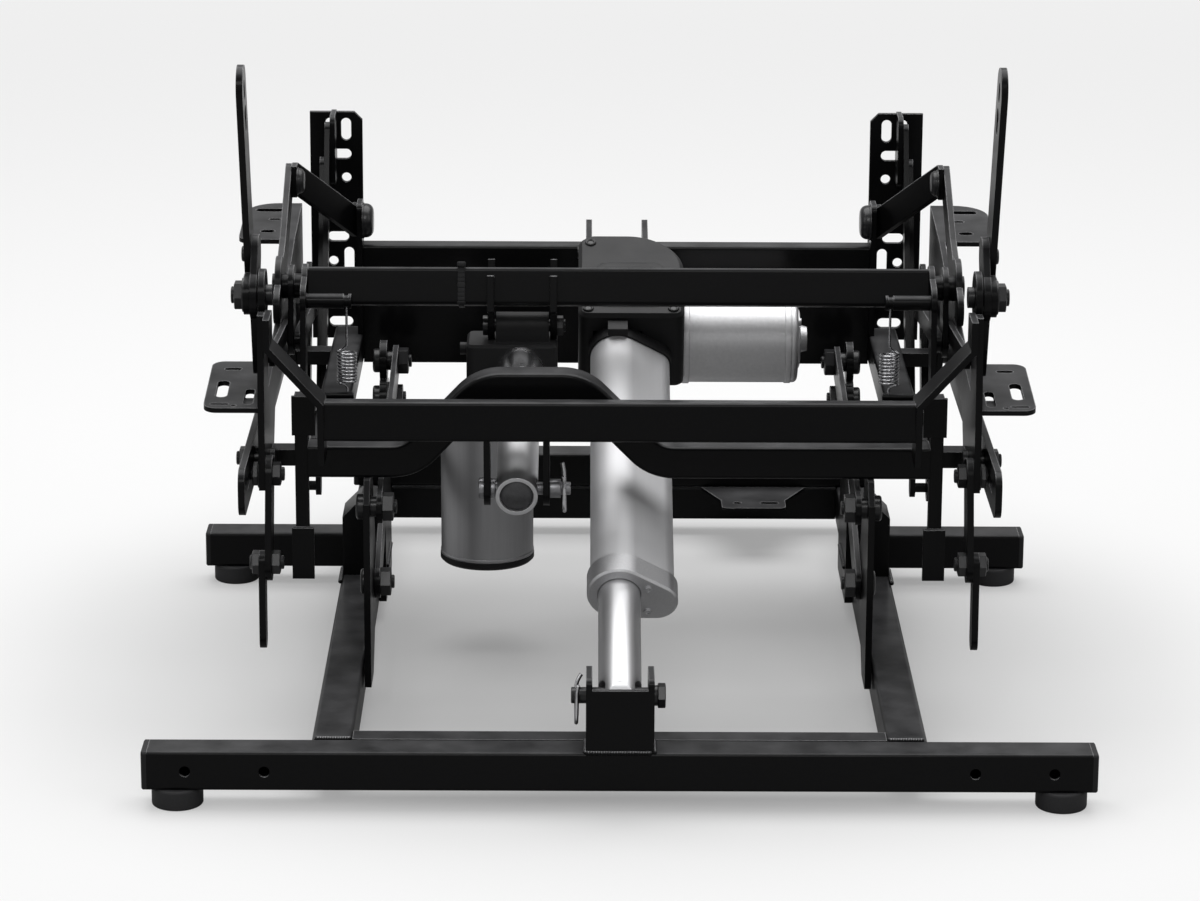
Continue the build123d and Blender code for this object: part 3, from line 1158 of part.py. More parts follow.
def back_pivot_plates():
    """Plates inside the back arms with the long pin of the back link."""
    profile = bar_profile(BACK_PIVOT, BACK_LINK_PIN, 12) + disc(BACK_PIVOT, 18)
    profile += bar_profile(BACK_PIVOT, (208, 366), 15)
    plate_x = SEAT_PLATE_X + ARM_SHEET + 1
    plate = slab(drilled(profile, (BACK_PIVOT, BACK_PIN_RADIUS)), plate_x, BACK_ARM_X - plate_x)
    return both_sides(plate + rod(BACK_LINK_PIN, CONTROL_X, plate_x, FOOT_PIN_RADIUS))


def back_bolts():
    """Pivot bolts of the back with their nuts."""
    outer = BACK_ARM_X + ARM_SHEET
    pivot = rod(BACK_PIVOT, SEAT_PLATE_X - 5, outer + 9, BACK_PIN_RADIUS)
    pivot += rod(BACK_PIVOT, SEAT_PLATE_X - 5, SEAT_PLATE_X - CLEAR, 8)
    pivot += hexagon_nut(BACK_PIVOT, outer, 7, 11, BACK_PIN_RADIUS)
    rivet = fillet(rod((208, 366), outer, outer + 3, 6).edges().sort_by(Axis.X)[-1], 1.5)
    return both_sides(pivot) + both_sides(rivet)


def back_links():
    """Flat links from the drive arms back to the back pivot plates."""
    end = moved(BACK_LINK_PIN, BACK_OPEN_SHIFT)
    profile = bar_profile(end, BACK_DRIVE_PIN, 7)
    bore = FOOT_PIN_RADIUS + RUNNING_GAP
    profile = drilled(profile, (end, OPEN_BORE_BACK_RADIUS), (BACK_DRIVE_PIN, bore))
    return both_sides(slab(profile, CONTROL_X, LINK_SHEET))


def seat_pivot_pins():
    """Pins in the seat plates for the footrest links."""
    main = rod(FOOT_MAIN_PIVOT, MAIN_X - 3, SEAT_PLATE_X + ARM_SHEET + 3, FOOT_PIN_RADIUS)
    main += rod(FOOT_MAIN_PIVOT, MAIN_X - 3, MAIN_X - CLEAR, FOOT_PIN_RADIUS + 2.5)
    main += rod(FOOT_MAIN_PIVOT, SEAT_PLATE_X + ARM_SHEET, SEAT_PLATE_X + ARM_SHEET + 3, 7)
    control = rod(FOOT_CONTROL_PIVOT, CONTROL_X, SEAT_PLATE_X + ARM_SHEET + 3, FOOT_PIN_RADIUS)
    control += rod(FOOT_CONTROL_PIVOT, SEAT_PLATE_X + ARM_SHEET, SEAT_PLATE_X + ARM_SHEET + 3, 7)
    return both_sides(main) + both_sides(control)


def footrest_main_links():
    """Links that swing the footrest out, with the pins of their neighbours."""
    bore = FOOT_PIN_RADIUS + RUNNING_GAP
    profile = bar_profile(FOOT_MAIN_PIVOT, FOOT_MAIN_END, FOOT_LINK_HALF_WIDTH)
    profile += disc(FOOT_MAIN_PIVOT, 11) + bar_profile(FOOT_MAIN_END, FOOT_GUIDE_START, FOOT_LINK_HALF_WIDTH)
    profile += disc(FOOT_DRIVE_PIN, 9)
    link = slab(drilled(profile, (FOOT_MAIN_PIVOT, bore)), MAIN_X, LINK_SHEET)
    link += rod(FOOT_MAIN_END, UPPER_FOOT_X, MAIN_X, FOOT_PIN_RADIUS)
    link += rod(FOOT_MAIN_END, UPPER_FOOT_X + LINK_SHEET + CLEAR, MAIN_X, FOOT_PIN_RADIUS + 3)
    link += rod(FOOT_GUIDE_START, GUIDE_X, MAIN_X, FOOT_PIN_RADIUS)
    link += rod(FOOT_DRIVE_PIN, DRIVE_LINK_X, MAIN_X, FOOT_PIN_RADIUS)
    return both_sides(link)


def footrest_drive_links():
    """Links from the drive arms forward to the main links."""
    end = moved(FOOT_DRIVE_PIN, DRIVE_OPEN_SHIFT)
    profile = bar_profile(DRIVE_ARM_PIN, end, 8)
    bore = FOOT_PIN_RADIUS + RUNNING_GAP
    profile = drilled(profile, (DRIVE_ARM_PIN, bore), (end, OPEN_BORE_DRIVE_RADIUS))
    return both_sides(slab(profile, DRIVE_LINK_X, LINK_SHEET))


def footrest_upper_links():
    """Links from the main links up to the footrest brackets."""
    bore = FOOT_PIN_RADIUS + RUNNING_GAP
    profile = bar_profile(FOOT_MAIN_END, FOOT_BRACKET_PIVOT, FOOT_LINK_HALF_WIDTH)
    profile += bar_profile(FOOT_MAIN_END, FOOT_CONTROL_END, 8)
    profile = drilled(profile, (FOOT_MAIN_END, bore))
    link = slab(profile, UPPER_FOOT_X, LINK_SHEET)
    link += rod(FOOT_CONTROL_END, UPPER_FOOT_X, CONTROL_X + LINK_SHEET, FOOT_PIN_RADIUS)
    link += rod(FOOT_BRACKET_PIVOT, BRACKET_LUG_X, UPPER_FOOT_X, FOOT_PIN_RADIUS)
    return both_sides(link)


def footrest_guide_links():
    """Links beside the upper links that keep the brackets at their angle."""
    bore = FOOT_PIN_RADIUS + RUNNING_GAP
    profile = bar_profile(FOOT_GUIDE_START, FOOT_GUIDE_END, 8)
    profile = drilled(profile, (FOOT_GUIDE_START, bore), (FOOT_GUIDE_END, bore))
    return both_sides(slab(profile, GUIDE_X, LINK_SHEET))


def footrest_control_links():
    """Links from the seat plates down to the tails of the upper links."""
    end = moved(FOOT_CONTROL_END, CONTROL_OPEN_SHIFT)
    profile = bar_profile(FOOT_CONTROL_PIVOT, end, 8) + disc(end, 10)
    bore = FOOT_PIN_RADIUS + RUNNING_GAP
    profile = drilled(profile, (FOOT_CONTROL_PIVOT, bore), (end, OPEN_BORE_CONTROL_RADIUS))
    return both_sides(slab(profile, CONTROL_X, LINK_SHEET))


def footrest_brackets():
    """Drilled plates for the footrest with the lugs of their links."""
    low, high = PERFORATED_Z
    near = PERFORATED_X
    far = PERFORATED_X + PERFORATED_WIDTH
    bevel = 7.0
    face = make_face(Polyline((near, low), (far, low), (far, high), (near + bevel, high), (near, high - bevel),
                              close=True))
    for x, z in ((245.6, 380.5), (232.0, 332.6), (244.0, 258.9), (238.0, 226.0)):
        face -= Pos(x, z) * Circle(4.1)
    for x, z, length, turn in ((232.0, 374.8, 19.4, 90), (237.8, 353.2, 20.4, 0), (239.6, 280.5, 18.2, 0),
                               (230.5, 258.0, 26.0, 90), (238.0, 205.0, 20.4, 0)):
        face -= Pos(x, z) * Rot(0, 0, turn) * SlotOverall(length, 8.6)
    plate = prism_y(face, PERFORATED_Y, PERFORATED_Y + PERFORATED_SHEET)
    back, low = moved(FOOT_BRACKET_PIVOT, (-14, -14))
    high = FOOT_GUIDE_END[1] + 15
    lug = outline([(back, low), (PERFORATED_Y, low), (PERFORATED_Y, high), (back, high)])
    lug = fillet(lug.vertices().group_by(Axis.X)[0], 8)
    bore = FOOT_PIN_RADIUS + RUNNING_GAP
    piece = plate + slab(drilled(lug, (FOOT_BRACKET_PIVOT, bore)), BRACKET_LUG_X, LINK_SHEET)
    piece += rod(FOOT_GUIDE_END, BRACKET_LUG_X, GUIDE_X + LINK_SHEET, FOOT_PIN_RADIUS)
    return both_sides(piece)


NODES = {
    "rear_base_tube": [rear_base_tube],
    "side_base_tubes": [side_base_tubes],
    "front_base_tubes": [front_base_tubes],
    "outrigger_tubes": [outrigger_tubes],
    "tube_end_caps": [tube_end_caps],
    "base_feet": [base_feet],
    "riser_posts": [riser_posts],
    "riser_plates": [riser_plates],
    "base_pivot_bolts": [base_pivot_bolts],
    "actuator_clevis": [actuator_clevis],
    "clevis_pin": [clevis_pin, clevis_r_clip],
    "stiffener_bar": [stiffener_bar],
    "control_box_bracket": [control_box_bracket],
    "upper_lift_links": [upper_lift_links],
    "lower_lift_links": [lower_lift_links],
    "arch_tube": [arch_tube],
    "carriage_rails": [carriage_rails],
    "hanger_plates": [hanger_plates],
    "carriage_bolts": [carriage_pivot_bolts, seat_bolts, beam_end_bolts, lever_bolts, arm_bolts],
    "front_beam": [front_beam, lift_ears],
    "lift_top_pin": [lift_top_pin],
    "beam_end_plates": [beam_end_plates],
    "brace_plates": [brace_plates],
    "front_ties": [front_ties],
    "mechanism_rails": [mechanism_rails],
    "side_brackets": [side_posts, cross_brackets, rear_levers],
    "seat_plates": [seat_plates],
    "seat_pivot_pins": [seat_pivot_pins],
    "rear_cross_tube": [rear_cross_tube, recline_rear_ears],
    "rear_straps": [rear_straps],
    "recline_rear_pin": [recline_rear_pin, recline_r_clip],
    "spring_posts": [spring_posts],
    "return_springs": [return_springs],
    "lift_barrel": [lift_barrel],
    "lift_end_flange": [lift_end_flange, lift_flange_screws],
    "lift_clamp_band": [lift_clamp_band],
    "lift_gearbox": [lift_gearbox],
    "lift_motor": [lift_motor_can, lift_motor_boss],
    "lift_lead_screw": [lift_lead_screw],
    "lift_rod": [lift_rod],
    "lift_drive_nut": [lift_drive_nut],
    "drive_tube": [drive_tube, drive_ears],
    "drive_arms": [drive_journals, drive_arms],
    "drive_ear_pin": [drive_ear_pin],
    "recline_gearbox": [recline_gearbox],
    "recline_motor_can": [recline_motor_can],
    "recline_motor_cap": [recline_motor_cap],
    "recline_collar": [recline_collar],
    "recline_lead_screw": [recline_lead_screw],
    "recline_rod": [recline_rod],
    "back_arms": [back_arms],
    "back_pivot_plates": [back_pivot_plates],
    "back_bolts": [back_bolts],
    "back_links": [back_links],
    "footrest_main_links": [footrest_main_links],
    "footrest_drive_links": [footrest_drive_links],
    "footrest_upper_links": [footrest_upper_links],
    "footrest_guide_links": [footrest_guide_links],
    "footrest_control_links": [footrest_control_links],
    "footrest_brackets": [footrest_brackets],
}


def main():
    """Write one STEP file for each node."""
    os.makedirs("parts", exist_ok=True)
    for name, pieces in NODES.items():
        solids = [solid for piece in pieces for shape in piece() for solid in shape.solids()]
        whole = Pos(0, -MIDDLE_Y, 0) * Compound(children=solids)
        export_step(whole, f"parts/{name}.step")
    print(len(NODES), "nodes")


if __name__ == "__main__":
    main()
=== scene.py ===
"""Looks of a recliner lift mechanism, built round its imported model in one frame, in metres."""

import logging
import math
from dataclasses import dataclass, field
from enum import Enum
from typing import Callable, Dict, List, Optional, Sequence, Tuple, Union

import bpy
from mathutils import Matrix, Vector


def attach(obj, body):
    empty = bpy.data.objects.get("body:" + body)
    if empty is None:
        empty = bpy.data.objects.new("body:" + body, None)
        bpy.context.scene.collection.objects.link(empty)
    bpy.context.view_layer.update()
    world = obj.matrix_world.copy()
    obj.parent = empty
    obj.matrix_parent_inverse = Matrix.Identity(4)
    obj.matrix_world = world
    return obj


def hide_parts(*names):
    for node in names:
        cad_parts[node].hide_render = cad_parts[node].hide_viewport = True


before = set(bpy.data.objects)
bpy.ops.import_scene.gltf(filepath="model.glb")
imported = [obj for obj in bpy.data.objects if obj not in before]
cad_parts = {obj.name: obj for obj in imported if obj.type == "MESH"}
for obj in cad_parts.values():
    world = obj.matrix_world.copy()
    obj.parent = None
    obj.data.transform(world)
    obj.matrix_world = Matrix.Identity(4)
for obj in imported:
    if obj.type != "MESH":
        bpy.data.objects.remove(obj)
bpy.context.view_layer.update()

log = logging.getLogger("lift_mechanism")

Colour = Tuple[float, float, float]
Place = Tuple[float, float, float]
Pair = Tuple[float, float]
Four = Tuple[float, float, float, float]
Piece = bpy.types.Object
Node = bpy.types.Node
Output = bpy.types.NodeSocket
Feeds = Dict[Union[int, str], object]
Test = Callable[[Vector, Vector], bool]


# -------- shader groups

class Socket(Enum):
    """Kinds of socket that a shader group can have."""

    VALUE = "NodeSocketFloat"
    VECTOR = "NodeSocketVector"


class Wiring:
    """Adds nodes to a node tree and links them.

    Args:
        tree: Node tree that it works on.
    """

    def __init__(self, tree: bpy.types.NodeTree) -> None:
        """Keep the tree."""
        self.tree = tree

    def feed(self, node: Node, feeds: Feeds) -> None:
        """Give a node its inputs.

        Args:
            node: Node to feed.
            feeds: By input name or number, a socket to link or a value to set.
        """
        for label, value in feeds.items():
            slot = node.inputs[label]
            if isinstance(value, Output):
                self.tree.links.new(value, slot)
            else:
                slot.default_value = (*value, 1.0) if slot.type == "RGBA" else value

    def add(self, kind: str, feeds: Optional[Feeds] = None, **settings: object) -> Node:
        """Add a node, set its properties and feed it.

        Args:
            kind: Blender's name for the node.
            feeds: Its inputs.
            settings: Its properties.

        Returns:
            The new node.
        """
        node = self.tree.nodes.new(kind)
        for label, value in settings.items():
            setattr(node, label, value)
        self.feed(node, feeds or {})
        return node

    def maths(self, operation: str, first: object, second: object) -> Output:
        """Result of a Math node on sockets or numbers."""
        return self.add("ShaderNodeMath", {0: first, 1: second}, operation=operation).outputs[0]

    def noise(self, scale: object, detail: float, vector: Output) -> Output:
        """Value of a noise texture."""
        return self.add("ShaderNodeTexNoise", {"Scale": scale, "Detail": detail, "Vector": vector}).outputs[0]

    def ramp(self, value: Output, low: float, high: float) -> Output:
        """Stretch a value from low..high to 0..1, clamped."""
        return self.add("ShaderNodeMapRange", {"Value": value, "From Min": low, "From Max": high}).outputs[0]

    def mix(self, factor: Output, first: object, second: Colour) -> Output:
        """Blend a colour or a socket into a second colour."""
        return self.add("ShaderNodeMix", {0: factor, 6: first, 7: second}, data_type="RGBA").outputs[2]

    def place(self) -> Output:
        """Object coordinates."""
        return self.add("ShaderNodeTexCoord").outputs["Object"]

    def part(self, vector: Output, axis: str) -> Output:
        """One of a vector's three parts."""
        return self.add("ShaderNodeSeparateXYZ", {0: vector}).outputs[axis]


class ShaderGroup(Wiring):
    """A node group that several materials share.

    Args:
        name: Name of the group.
        inputs: Default of each input, a number or a vector.
        outputs: Names of the outputs, all of them numbers.
    """

    def __init__(self, name: str, inputs: Dict[str, object], outputs: Sequence[str]) -> None:
        """Make the group with its sockets."""
        super().__init__(bpy.data.node_groups.new(name, "ShaderNodeTree"))
        for label, value in inputs.items():
            kind = Socket.VECTOR if isinstance(value, tuple) else Socket.VALUE
            item = self.tree.interface.new_socket(label, in_out="INPUT", socket_type=kind.value)
            item.default_value = value
        for label in outputs:
            self.tree.interface.new_socket(label, in_out="OUTPUT", socket_type=Socket.VALUE.value)
        self.given = self.add("NodeGroupInput").outputs
        self.end = self.add("NodeGroupOutput")

    def scaled(self, first: Output, second: Output, amount: str) -> Output:
        """Product of two values and one of the inputs."""
        return self.maths("MULTIPLY", self.maths("MULTIPLY", first, second), self.given[amount])

    def swing(self, value: Output, amount: str) -> Output:
        """How far a value is from a half, times one of the inputs."""
        return self.maths("MULTIPLY", self.maths("SUBTRACT", value, 0.5), self.given[amount])


def dust_and_top_light_group() -> ShaderGroup:
    """Lightens faces turned up in patches: partly dust, partly painted light standing for the light that falls on
    top faces.

    Returns:
        A group with a Mask output.
    """
    group = ShaderGroup("settled_dust", {"Amount": 0.2, "Scale": 40.0}, ("Mask",))
    normal = group.add("ShaderNodeNewGeometry").outputs["Normal"]
    upward = group.ramp(group.part(normal, "Z"), 0.55, 1.0)
    patches = group.ramp(group.noise(group.given["Scale"], 6.0, group.place()), 0.05, 0.75)
    group.feed(group.end, {"Mask": group.scaled(upward, patches, "Amount")})
    return group


def grain_group() -> ShaderGroup:
    """Fine unevenness of a painted or cast skin.

    Returns:
        A group with Rough and Height outputs.
    """
    group = ShaderGroup("skin_grain", {"Fine Scale": 900.0, "Wide Scale": 25.0, "Rough": 0.35, "Spread": 0.1},
                        ("Rough", "Height"))
    place = group.place()
    wide = group.noise(group.given["Wide Scale"], 5.0, place)
    group.feed(group.end, {"Rough": group.maths("ADD", group.given["Rough"], group.swing(wide, "Spread")),
                           "Height": group.noise(group.given["Fine Scale"], 2.0, place)})
    return group


def streak_group() -> ShaderGroup:
    """Long fine streaks left by drawing or brushing along one direction.

    Returns:
        A group with Tone and Height outputs.
    """
    group = ShaderGroup("drawn_streaks", {"Stretch": (1.0, 1.0, 1.0), "Tilt": (0.0, 0.0, 0.0), "Contrast": 0.5},
                        ("Tone", "Height"))
    place = group.place()
    turned = group.add("ShaderNodeMapping", {"Vector": place, "Rotation": group.given["Tilt"]}).outputs[0]
    drawn = group.add("ShaderNodeVectorMath", {0: turned, 1: group.given["Stretch"]}, operation="MULTIPLY")
    lines = group.noise(1.0, 8.0, drawn.outputs[0])
    cloud = group.noise(22.0, 3.0, place)
    mixed = group.maths("ADD", group.maths("MULTIPLY", lines, 0.65), group.maths("MULTIPLY", cloud, 0.35))
    group.feed(group.end, {"Tone": group.maths("ADD", 0.5, group.swing(mixed, "Contrast")), "Height": lines})
    return group


def edge_highlight_group() -> ShaderGroup:
    """Painted highlight: lighter base colour along edges that face up, standing in for light caught by the coat.

    Returns:
        A group with a Mask output.
    """
    group = ShaderGroup("caught_edges", {"Amount": 0.5, "Radius": 0.001}, ("Mask",))
    rounded = group.add("ShaderNodeBevel", {"Radius": group.given["Radius"]}, samples=4).outputs[0]
    flat = group.add("ShaderNodeNewGeometry").outputs["True Normal"]
    facing = group.add("ShaderNodeVectorMath", {0: rounded, 1: flat}, operation="DOT_PRODUCT").outputs["Value"]
    bend = group.ramp(group.maths("SUBTRACT", 1.0, facing), 0.03, 0.26)
    upward = group.ramp(group.part(rounded, "Z"), 0.35, 0.8)
    group.feed(group.end, {"Mask": group.scaled(bend, upward, "Amount")})
    return group


@dataclass
class SharedGroups:
    """The shader groups that the finishes share."""

    edges: ShaderGroup = field(default_factory=edge_highlight_group)
    dust_and_top_light: ShaderGroup = field(default_factory=dust_and_top_light_group)
    grain: ShaderGroup = field(default_factory=grain_group)
    streaks: ShaderGroup = field(default_factory=streak_group)


# -------- finishes

@dataclass(frozen=True)
class Finish:
    """A procedural finish of one of the mechanism's materials."""

    name: str
    colour: Colour
    second: Colour
    rough: float
    spread: float
    metallic: float = 0.0
    coat: float = 0.0
    coat_rough: float = 0.1
    specular: float = 0.5
    fine_scale: float = 900.0
    wide_scale: float = 25.0
    bump: float = 0.1
    bump_depth: float = 0.00005
    edge_round: float = 0.0007
    # Painted highlight along upward edges: its strength and its colour.
    painted_edge_highlight: float = 0.0
    edge_highlight_colour: Colour = (0.55, 0.55, 0.56)
    # Lightening of faces turned up: partly dust, partly painted top light.
    dust_and_top_light: float = 0.0
    dust_and_top_light_colour: Colour = (0.32, 0.32, 0.33)
    streaks: float = 0.0
    stretch: Place = (1.0, 1.0, 1.0)
    tilt: Place = (0.0, 0.0, 0.0)

    def build(self, groups: SharedGroups) -> bpy.types.Material:
        """Make the material.

        Args:
            groups: Shared shader groups.

        Returns:
            The new material.
        """
        material = bpy.data.materials.new(self.name)
        material.use_nodes = True
        wiring = Wiring(material.node_tree)

        def share(group: ShaderGroup, feeds: Feeds) -> bpy.types.bpy_prop_collection:
            """Outputs of a shared group placed in the material."""
            return wiring.add("ShaderNodeGroup", feeds, node_tree=group.tree).outputs

        grain = share(groups.grain, {"Fine Scale": self.fine_scale, "Wide Scale": self.wide_scale,
                                     "Rough": self.rough, "Spread": self.spread})
        tone = height = grain["Height"]
        if self.streaks > 0:
            lines = share(groups.streaks, {"Contrast": self.streaks, "Stretch": self.stretch, "Tilt": self.tilt})
            tone, height = lines["Tone"], lines["Height"]
        colour = wiring.mix(tone, self.colour, self.second)
        # Faces turned up are lightened: partly dust, partly painted light on the lit tops.
        if self.dust_and_top_light > 0:
            colour = wiring.mix(share(groups.dust_and_top_light, {"Amount": self.dust_and_top_light})["Mask"], colour, self.dust_and_top_light_colour)
        # Painted highlight: upward edges are lightened as if they caught the light.
        if self.painted_edge_highlight > 0:
            edges = share(groups.edges, {"Amount": self.painted_edge_highlight, "Radius": self.edge_round})
            colour = wiring.mix(edges["Mask"], colour, self.edge_highlight_colour)
        rounded = wiring.add("ShaderNodeBevel", {"Radius": self.edge_round}, samples=4)
        bump = wiring.add("ShaderNodeBump", {"Normal": rounded.outputs[0], "Strength": self.bump,
                                             "Distance": self.bump_depth, "Height": height})
        wiring.feed(material.node_tree.nodes["Principled BSDF"], {
            "Base Color": colour, "Metallic": self.metallic, "Roughness": grain["Rough"], "Coat Weight": self.coat,
            "Coat Roughness": self.coat_rough, "Specular IOR Level": self.specular,
            "Normal": bump.outputs["Normal"]})
        return material


LIFT_SLOPE = 23.436
RECLINE_SLOPE = 12.75
LIFT_TILT = (math.radians(-LIFT_SLOPE), 0.0, 0.0)
RECLINE_TILT = (math.radians(-RECLINE_SLOPE), 0.0, 0.0)

# The coat's top faces and upward edges are lightened with painted light as well as dust.
POWDER_COAT = Finish(
    "satin_black_coat", (0.0018, 0.0018, 0.0020), (0.0034, 0.0034, 0.0037), 0.34, 0.10, specular=0.06, coat=0.13,
    coat_rough=0.14, bump=0.22, bump_depth=0.00010, fine_scale=420.0, edge_round=0.0014, painted_edge_highlight=1.0, dust_and_top_light=0.20)
BLACK_BOLT = Finish(
    "black_fastener_skin", (0.006, 0.006, 0.0066), (0.013, 0.013, 0.014), 0.30, 0.14, specular=0.32, coat=0.12,
    coat_rough=0.2, bump=0.2, bump_depth=0.00008, dust_and_top_light=0.04)
BRIGHT_ZINC = Finish(
    "bright_zinc_plate", (0.66, 0.66, 0.67), (0.50, 0.50, 0.52), 0.26, 0.14, metallic=1.0, bump=0.15,
    bump_depth=0.00006)
SATIN_ALUMINIUM = Finish(
    "satin_aluminium", (0.50, 0.50, 0.51), (0.60, 0.60, 0.61), 0.58, 0.08, metallic=0.75, streaks=0.5,
    stretch=(420.0, 14.0, 420.0), tilt=LIFT_TILT, bump=0.12, bump_depth=0.00004)
ROD_ALUMINIUM = Finish(
    "polished_rod", (0.56, 0.56, 0.57), (0.68, 0.68, 0.69), 0.42, 0.06, metallic=1.0, streaks=0.6,
    stretch=(500.0, 12.0, 500.0), tilt=LIFT_TILT, bump=0.08, bump_depth=0.00003)
RECLINE_ALUMINIUM = Finish(
    "recline_rod_skin", (0.56, 0.56, 0.57), (0.72, 0.72, 0.73), 0.42, 0.08, metallic=1.0, streaks=0.6,
    stretch=(500.0, 12.0, 500.0), tilt=RECLINE_TILT, bump=0.08, bump_depth=0.00003)
CAST_ALUMINIUM = Finish(
    "cast_aluminium", (0.46, 0.46, 0.47), (0.57, 0.57, 0.58), 0.46, 0.12, metallic=1.0, bump=0.35,
    bump_depth=0.00012, fine_scale=650.0)
PLATED_CAN = Finish(
    "plated_motor_can", (0.56, 0.56, 0.57), (0.68, 0.68, 0.69), 0.50, 0.10, metallic=1.0, bump=0.4,
    bump_depth=0.00018, fine_scale=330.0)
DRAWN_CAN = Finish(
    "drawn_motor_can", (0.33, 0.33, 0.34), (0.46, 0.46, 0.47), 0.48, 0.10, metallic=1.0, streaks=0.9,
    stretch=(420.0, 420.0, 14.0), bump=0.15, bump_depth=0.00005)
MOULDED_PLASTIC = Finish(
    "moulded_black_plastic", (0.0065, 0.0065, 0.0070), (0.012, 0.012, 0.0126), 0.50, 0.10, specular=0.22, bump=0.4,
    bump_depth=0.00012, fine_scale=1100.0, dust_and_top_light=0.08)
DARK_PLUG = Finish(
    "dark_rod_plug", (0.05, 0.05, 0.052), (0.085, 0.085, 0.088), 0.38, 0.12, metallic=0.6, bump=0.3,
    bump_depth=0.0001, fine_scale=520.0)
DULL_ZINC = Finish(
    "dull_zinc_pin", (0.22, 0.22, 0.23), (0.32, 0.32, 0.33), 0.40, 0.14, metallic=1.0, bump=0.2, bump_depth=0.00006)
FOOT_RUBBER = Finish(
    "foot_rubber", (0.011, 0.011, 0.012), (0.018, 0.018, 0.019), 0.62, 0.12, specular=0.35, bump=0.5,
    bump_depth=0.00015, fine_scale=700.0, dust_and_top_light=0.16)

CAD_FINISHES: Dict[Finish, Tuple[str, ...]] = {
    BRIGHT_ZINC: ("return_springs", "lift_lead_screw", "recline_lead_screw", "recline_collar"),
    SATIN_ALUMINIUM: ("lift_barrel",),
    ROD_ALUMINIUM: ("lift_rod",),
    RECLINE_ALUMINIUM: ("recline_rod",),
    CAST_ALUMINIUM: ("lift_end_flange",),
    PLATED_CAN: ("lift_motor",),
    DRAWN_CAN: ("recline_motor_can",),
    MOULDED_PLASTIC: ("tube_end_caps", "lift_clamp_band", "lift_gearbox", "lift_drive_nut", "recline_gearbox",
                      "recline_motor_cap"),
    FOOT_RUBBER: ("base_feet",),
    BLACK_BOLT: ("base_pivot_bolts", "carriage_bolts", "seat_pivot_pins", "back_bolts", "drive_ear_pin",
                 "lift_top_pin", "clevis_pin", "recline_rear_pin"),
}


class Paintshop:
    """Builds each finish once and gives it to pieces."""

    def __init__(self) -> None:
        """Make the shared groups."""
        self.groups = SharedGroups()
        self.made: Dict[str, bpy.types.Material] = {}

    def material(self, finish: Finish) -> bpy.types.Material:
        """The material of a finish, made on first use.

        Args:
            finish: The finish.

        Returns:
            Its material.
        """
        if finish.name not in self.made:
            self.made[finish.name] = finish.build(self.groups)
        return self.made[finish.name]

    def dress(self, piece: Piece, finish: Finish) -> None:
        """Give a new piece a finish."""
        piece.data.materials.clear()
        piece.data.materials.append(self.material(finish))

    def dress_cad(self) -> None:
        """Give every CAD node its finish through its object's slots."""
        chosen = {node: finish for finish, nodes in CAD_FINISHES.items() for node in nodes}
        for name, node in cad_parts.items():
            finish = chosen.get(name, POWDER_COAT)
            for slot in node.material_slots:
                slot.link = "OBJECT"
                slot.material = self.material(finish)
            log.info("dressed %s with %s", name, finish.name)


# -------- workbench: Blender's own modelling tools, one step at a time

MILLI = 0.001
MIDDLE_Y = 343.5
NEAR = 0.1 * MILLI
SIDES = (1, -1)
HEX_SIDES = 6
HEX_TURN = 30.0
SMOOTH_ANGLE = math.radians(40.0)
RIGHT = Vector((1.0, 0.0, 0.0))


def spot(x: float, y: float, z: float) -> Vector:
    """Frame place of a drawing place given in millimetres."""
    return Vector((x, y - MIDDLE_Y, z)) * MILLI


def pose(place: Vector, axis: Vector) -> Matrix:
    """Matrix that stands a piece modelled along +Z on a place, along an axis."""
    return Matrix.Translation(place) @ axis.to_track_quat("Z", "Y").to_matrix().to_4x4()


def upright(place: Vector, slope: float) -> Matrix:
    """Matrix of a frame at a place that is tipped up about X by a slope in degrees."""
    return Matrix.Translation(place) @ Matrix.Rotation(math.radians(slope), 4, "X")


def facing_up(middle: Vector, normal: Vector) -> bool:
    """Tell whether a face looks up along Z."""
    return normal.z > 0.9


def anything(middle: Vector, way: Vector) -> bool:
    """Let every face or edge pass."""
    return True


class Pick(Enum):
    """What an edit-mode step acts on."""

    EDGES = "EDGE"
    FACES = "FACE"


def clear() -> None:
    """Leave edit mode and deselect everything."""
    if bpy.context.mode != "OBJECT":
        bpy.ops.object.mode_set(mode="OBJECT")
    bpy.ops.object.select_all(action="DESELECT")


def hold(piece: Piece) -> None:
    """Make a piece the only selected and the active one.

    Args:
        piece: Piece to hold.
    """
    clear()
    piece.select_set(True)
    bpy.context.view_layer.objects.active = piece


def fix() -> Piece:
    """Put the active piece's place, turn and scale in its mesh and return it."""
    bpy.ops.object.transform_apply(location=True, rotation=True, scale=True)
    return bpy.context.object


def cylinder(radius: float, bottom: float, top: float, sides: int, turn: float = 0.0,
             ends: str = "NGON") -> Piece:
    """Add a round or many-sided blank along Z, in millimetres.

    Args:
        radius: Radius to its corners.
        bottom: Z of its lower end.
        top: Z of its upper end.
        sides: Number of sides.
        turn: Turn about Z in degrees.
        ends: How the ends are closed.

    Returns:
        The new piece.
    """
    clear()
    bpy.ops.mesh.primitive_cylinder_add(vertices=sides, radius=radius * MILLI, depth=(top - bottom) * MILLI,
                                        end_fill_type=ends, location=(0.0, 0.0, (top + bottom) / 2 * MILLI),
                                        rotation=(0.0, 0.0, math.radians(turn)))
    return fix()


def block(low: Place, high: Place) -> Piece:
    """Add a rectangular blank between two corners given in millimetres.

    Args:
        low: Lowest corner.
        high: Highest corner.

    Returns:
        The new piece.
    """
    clear()
    middle = [(a + b) / 2 * MILLI for a, b in zip(low, high)]
    bpy.ops.mesh.primitive_cube_add(size=1.0, location=middle,
                                    scale=[(b - a) * MILLI for a, b in zip(low, high)])
    return fix()


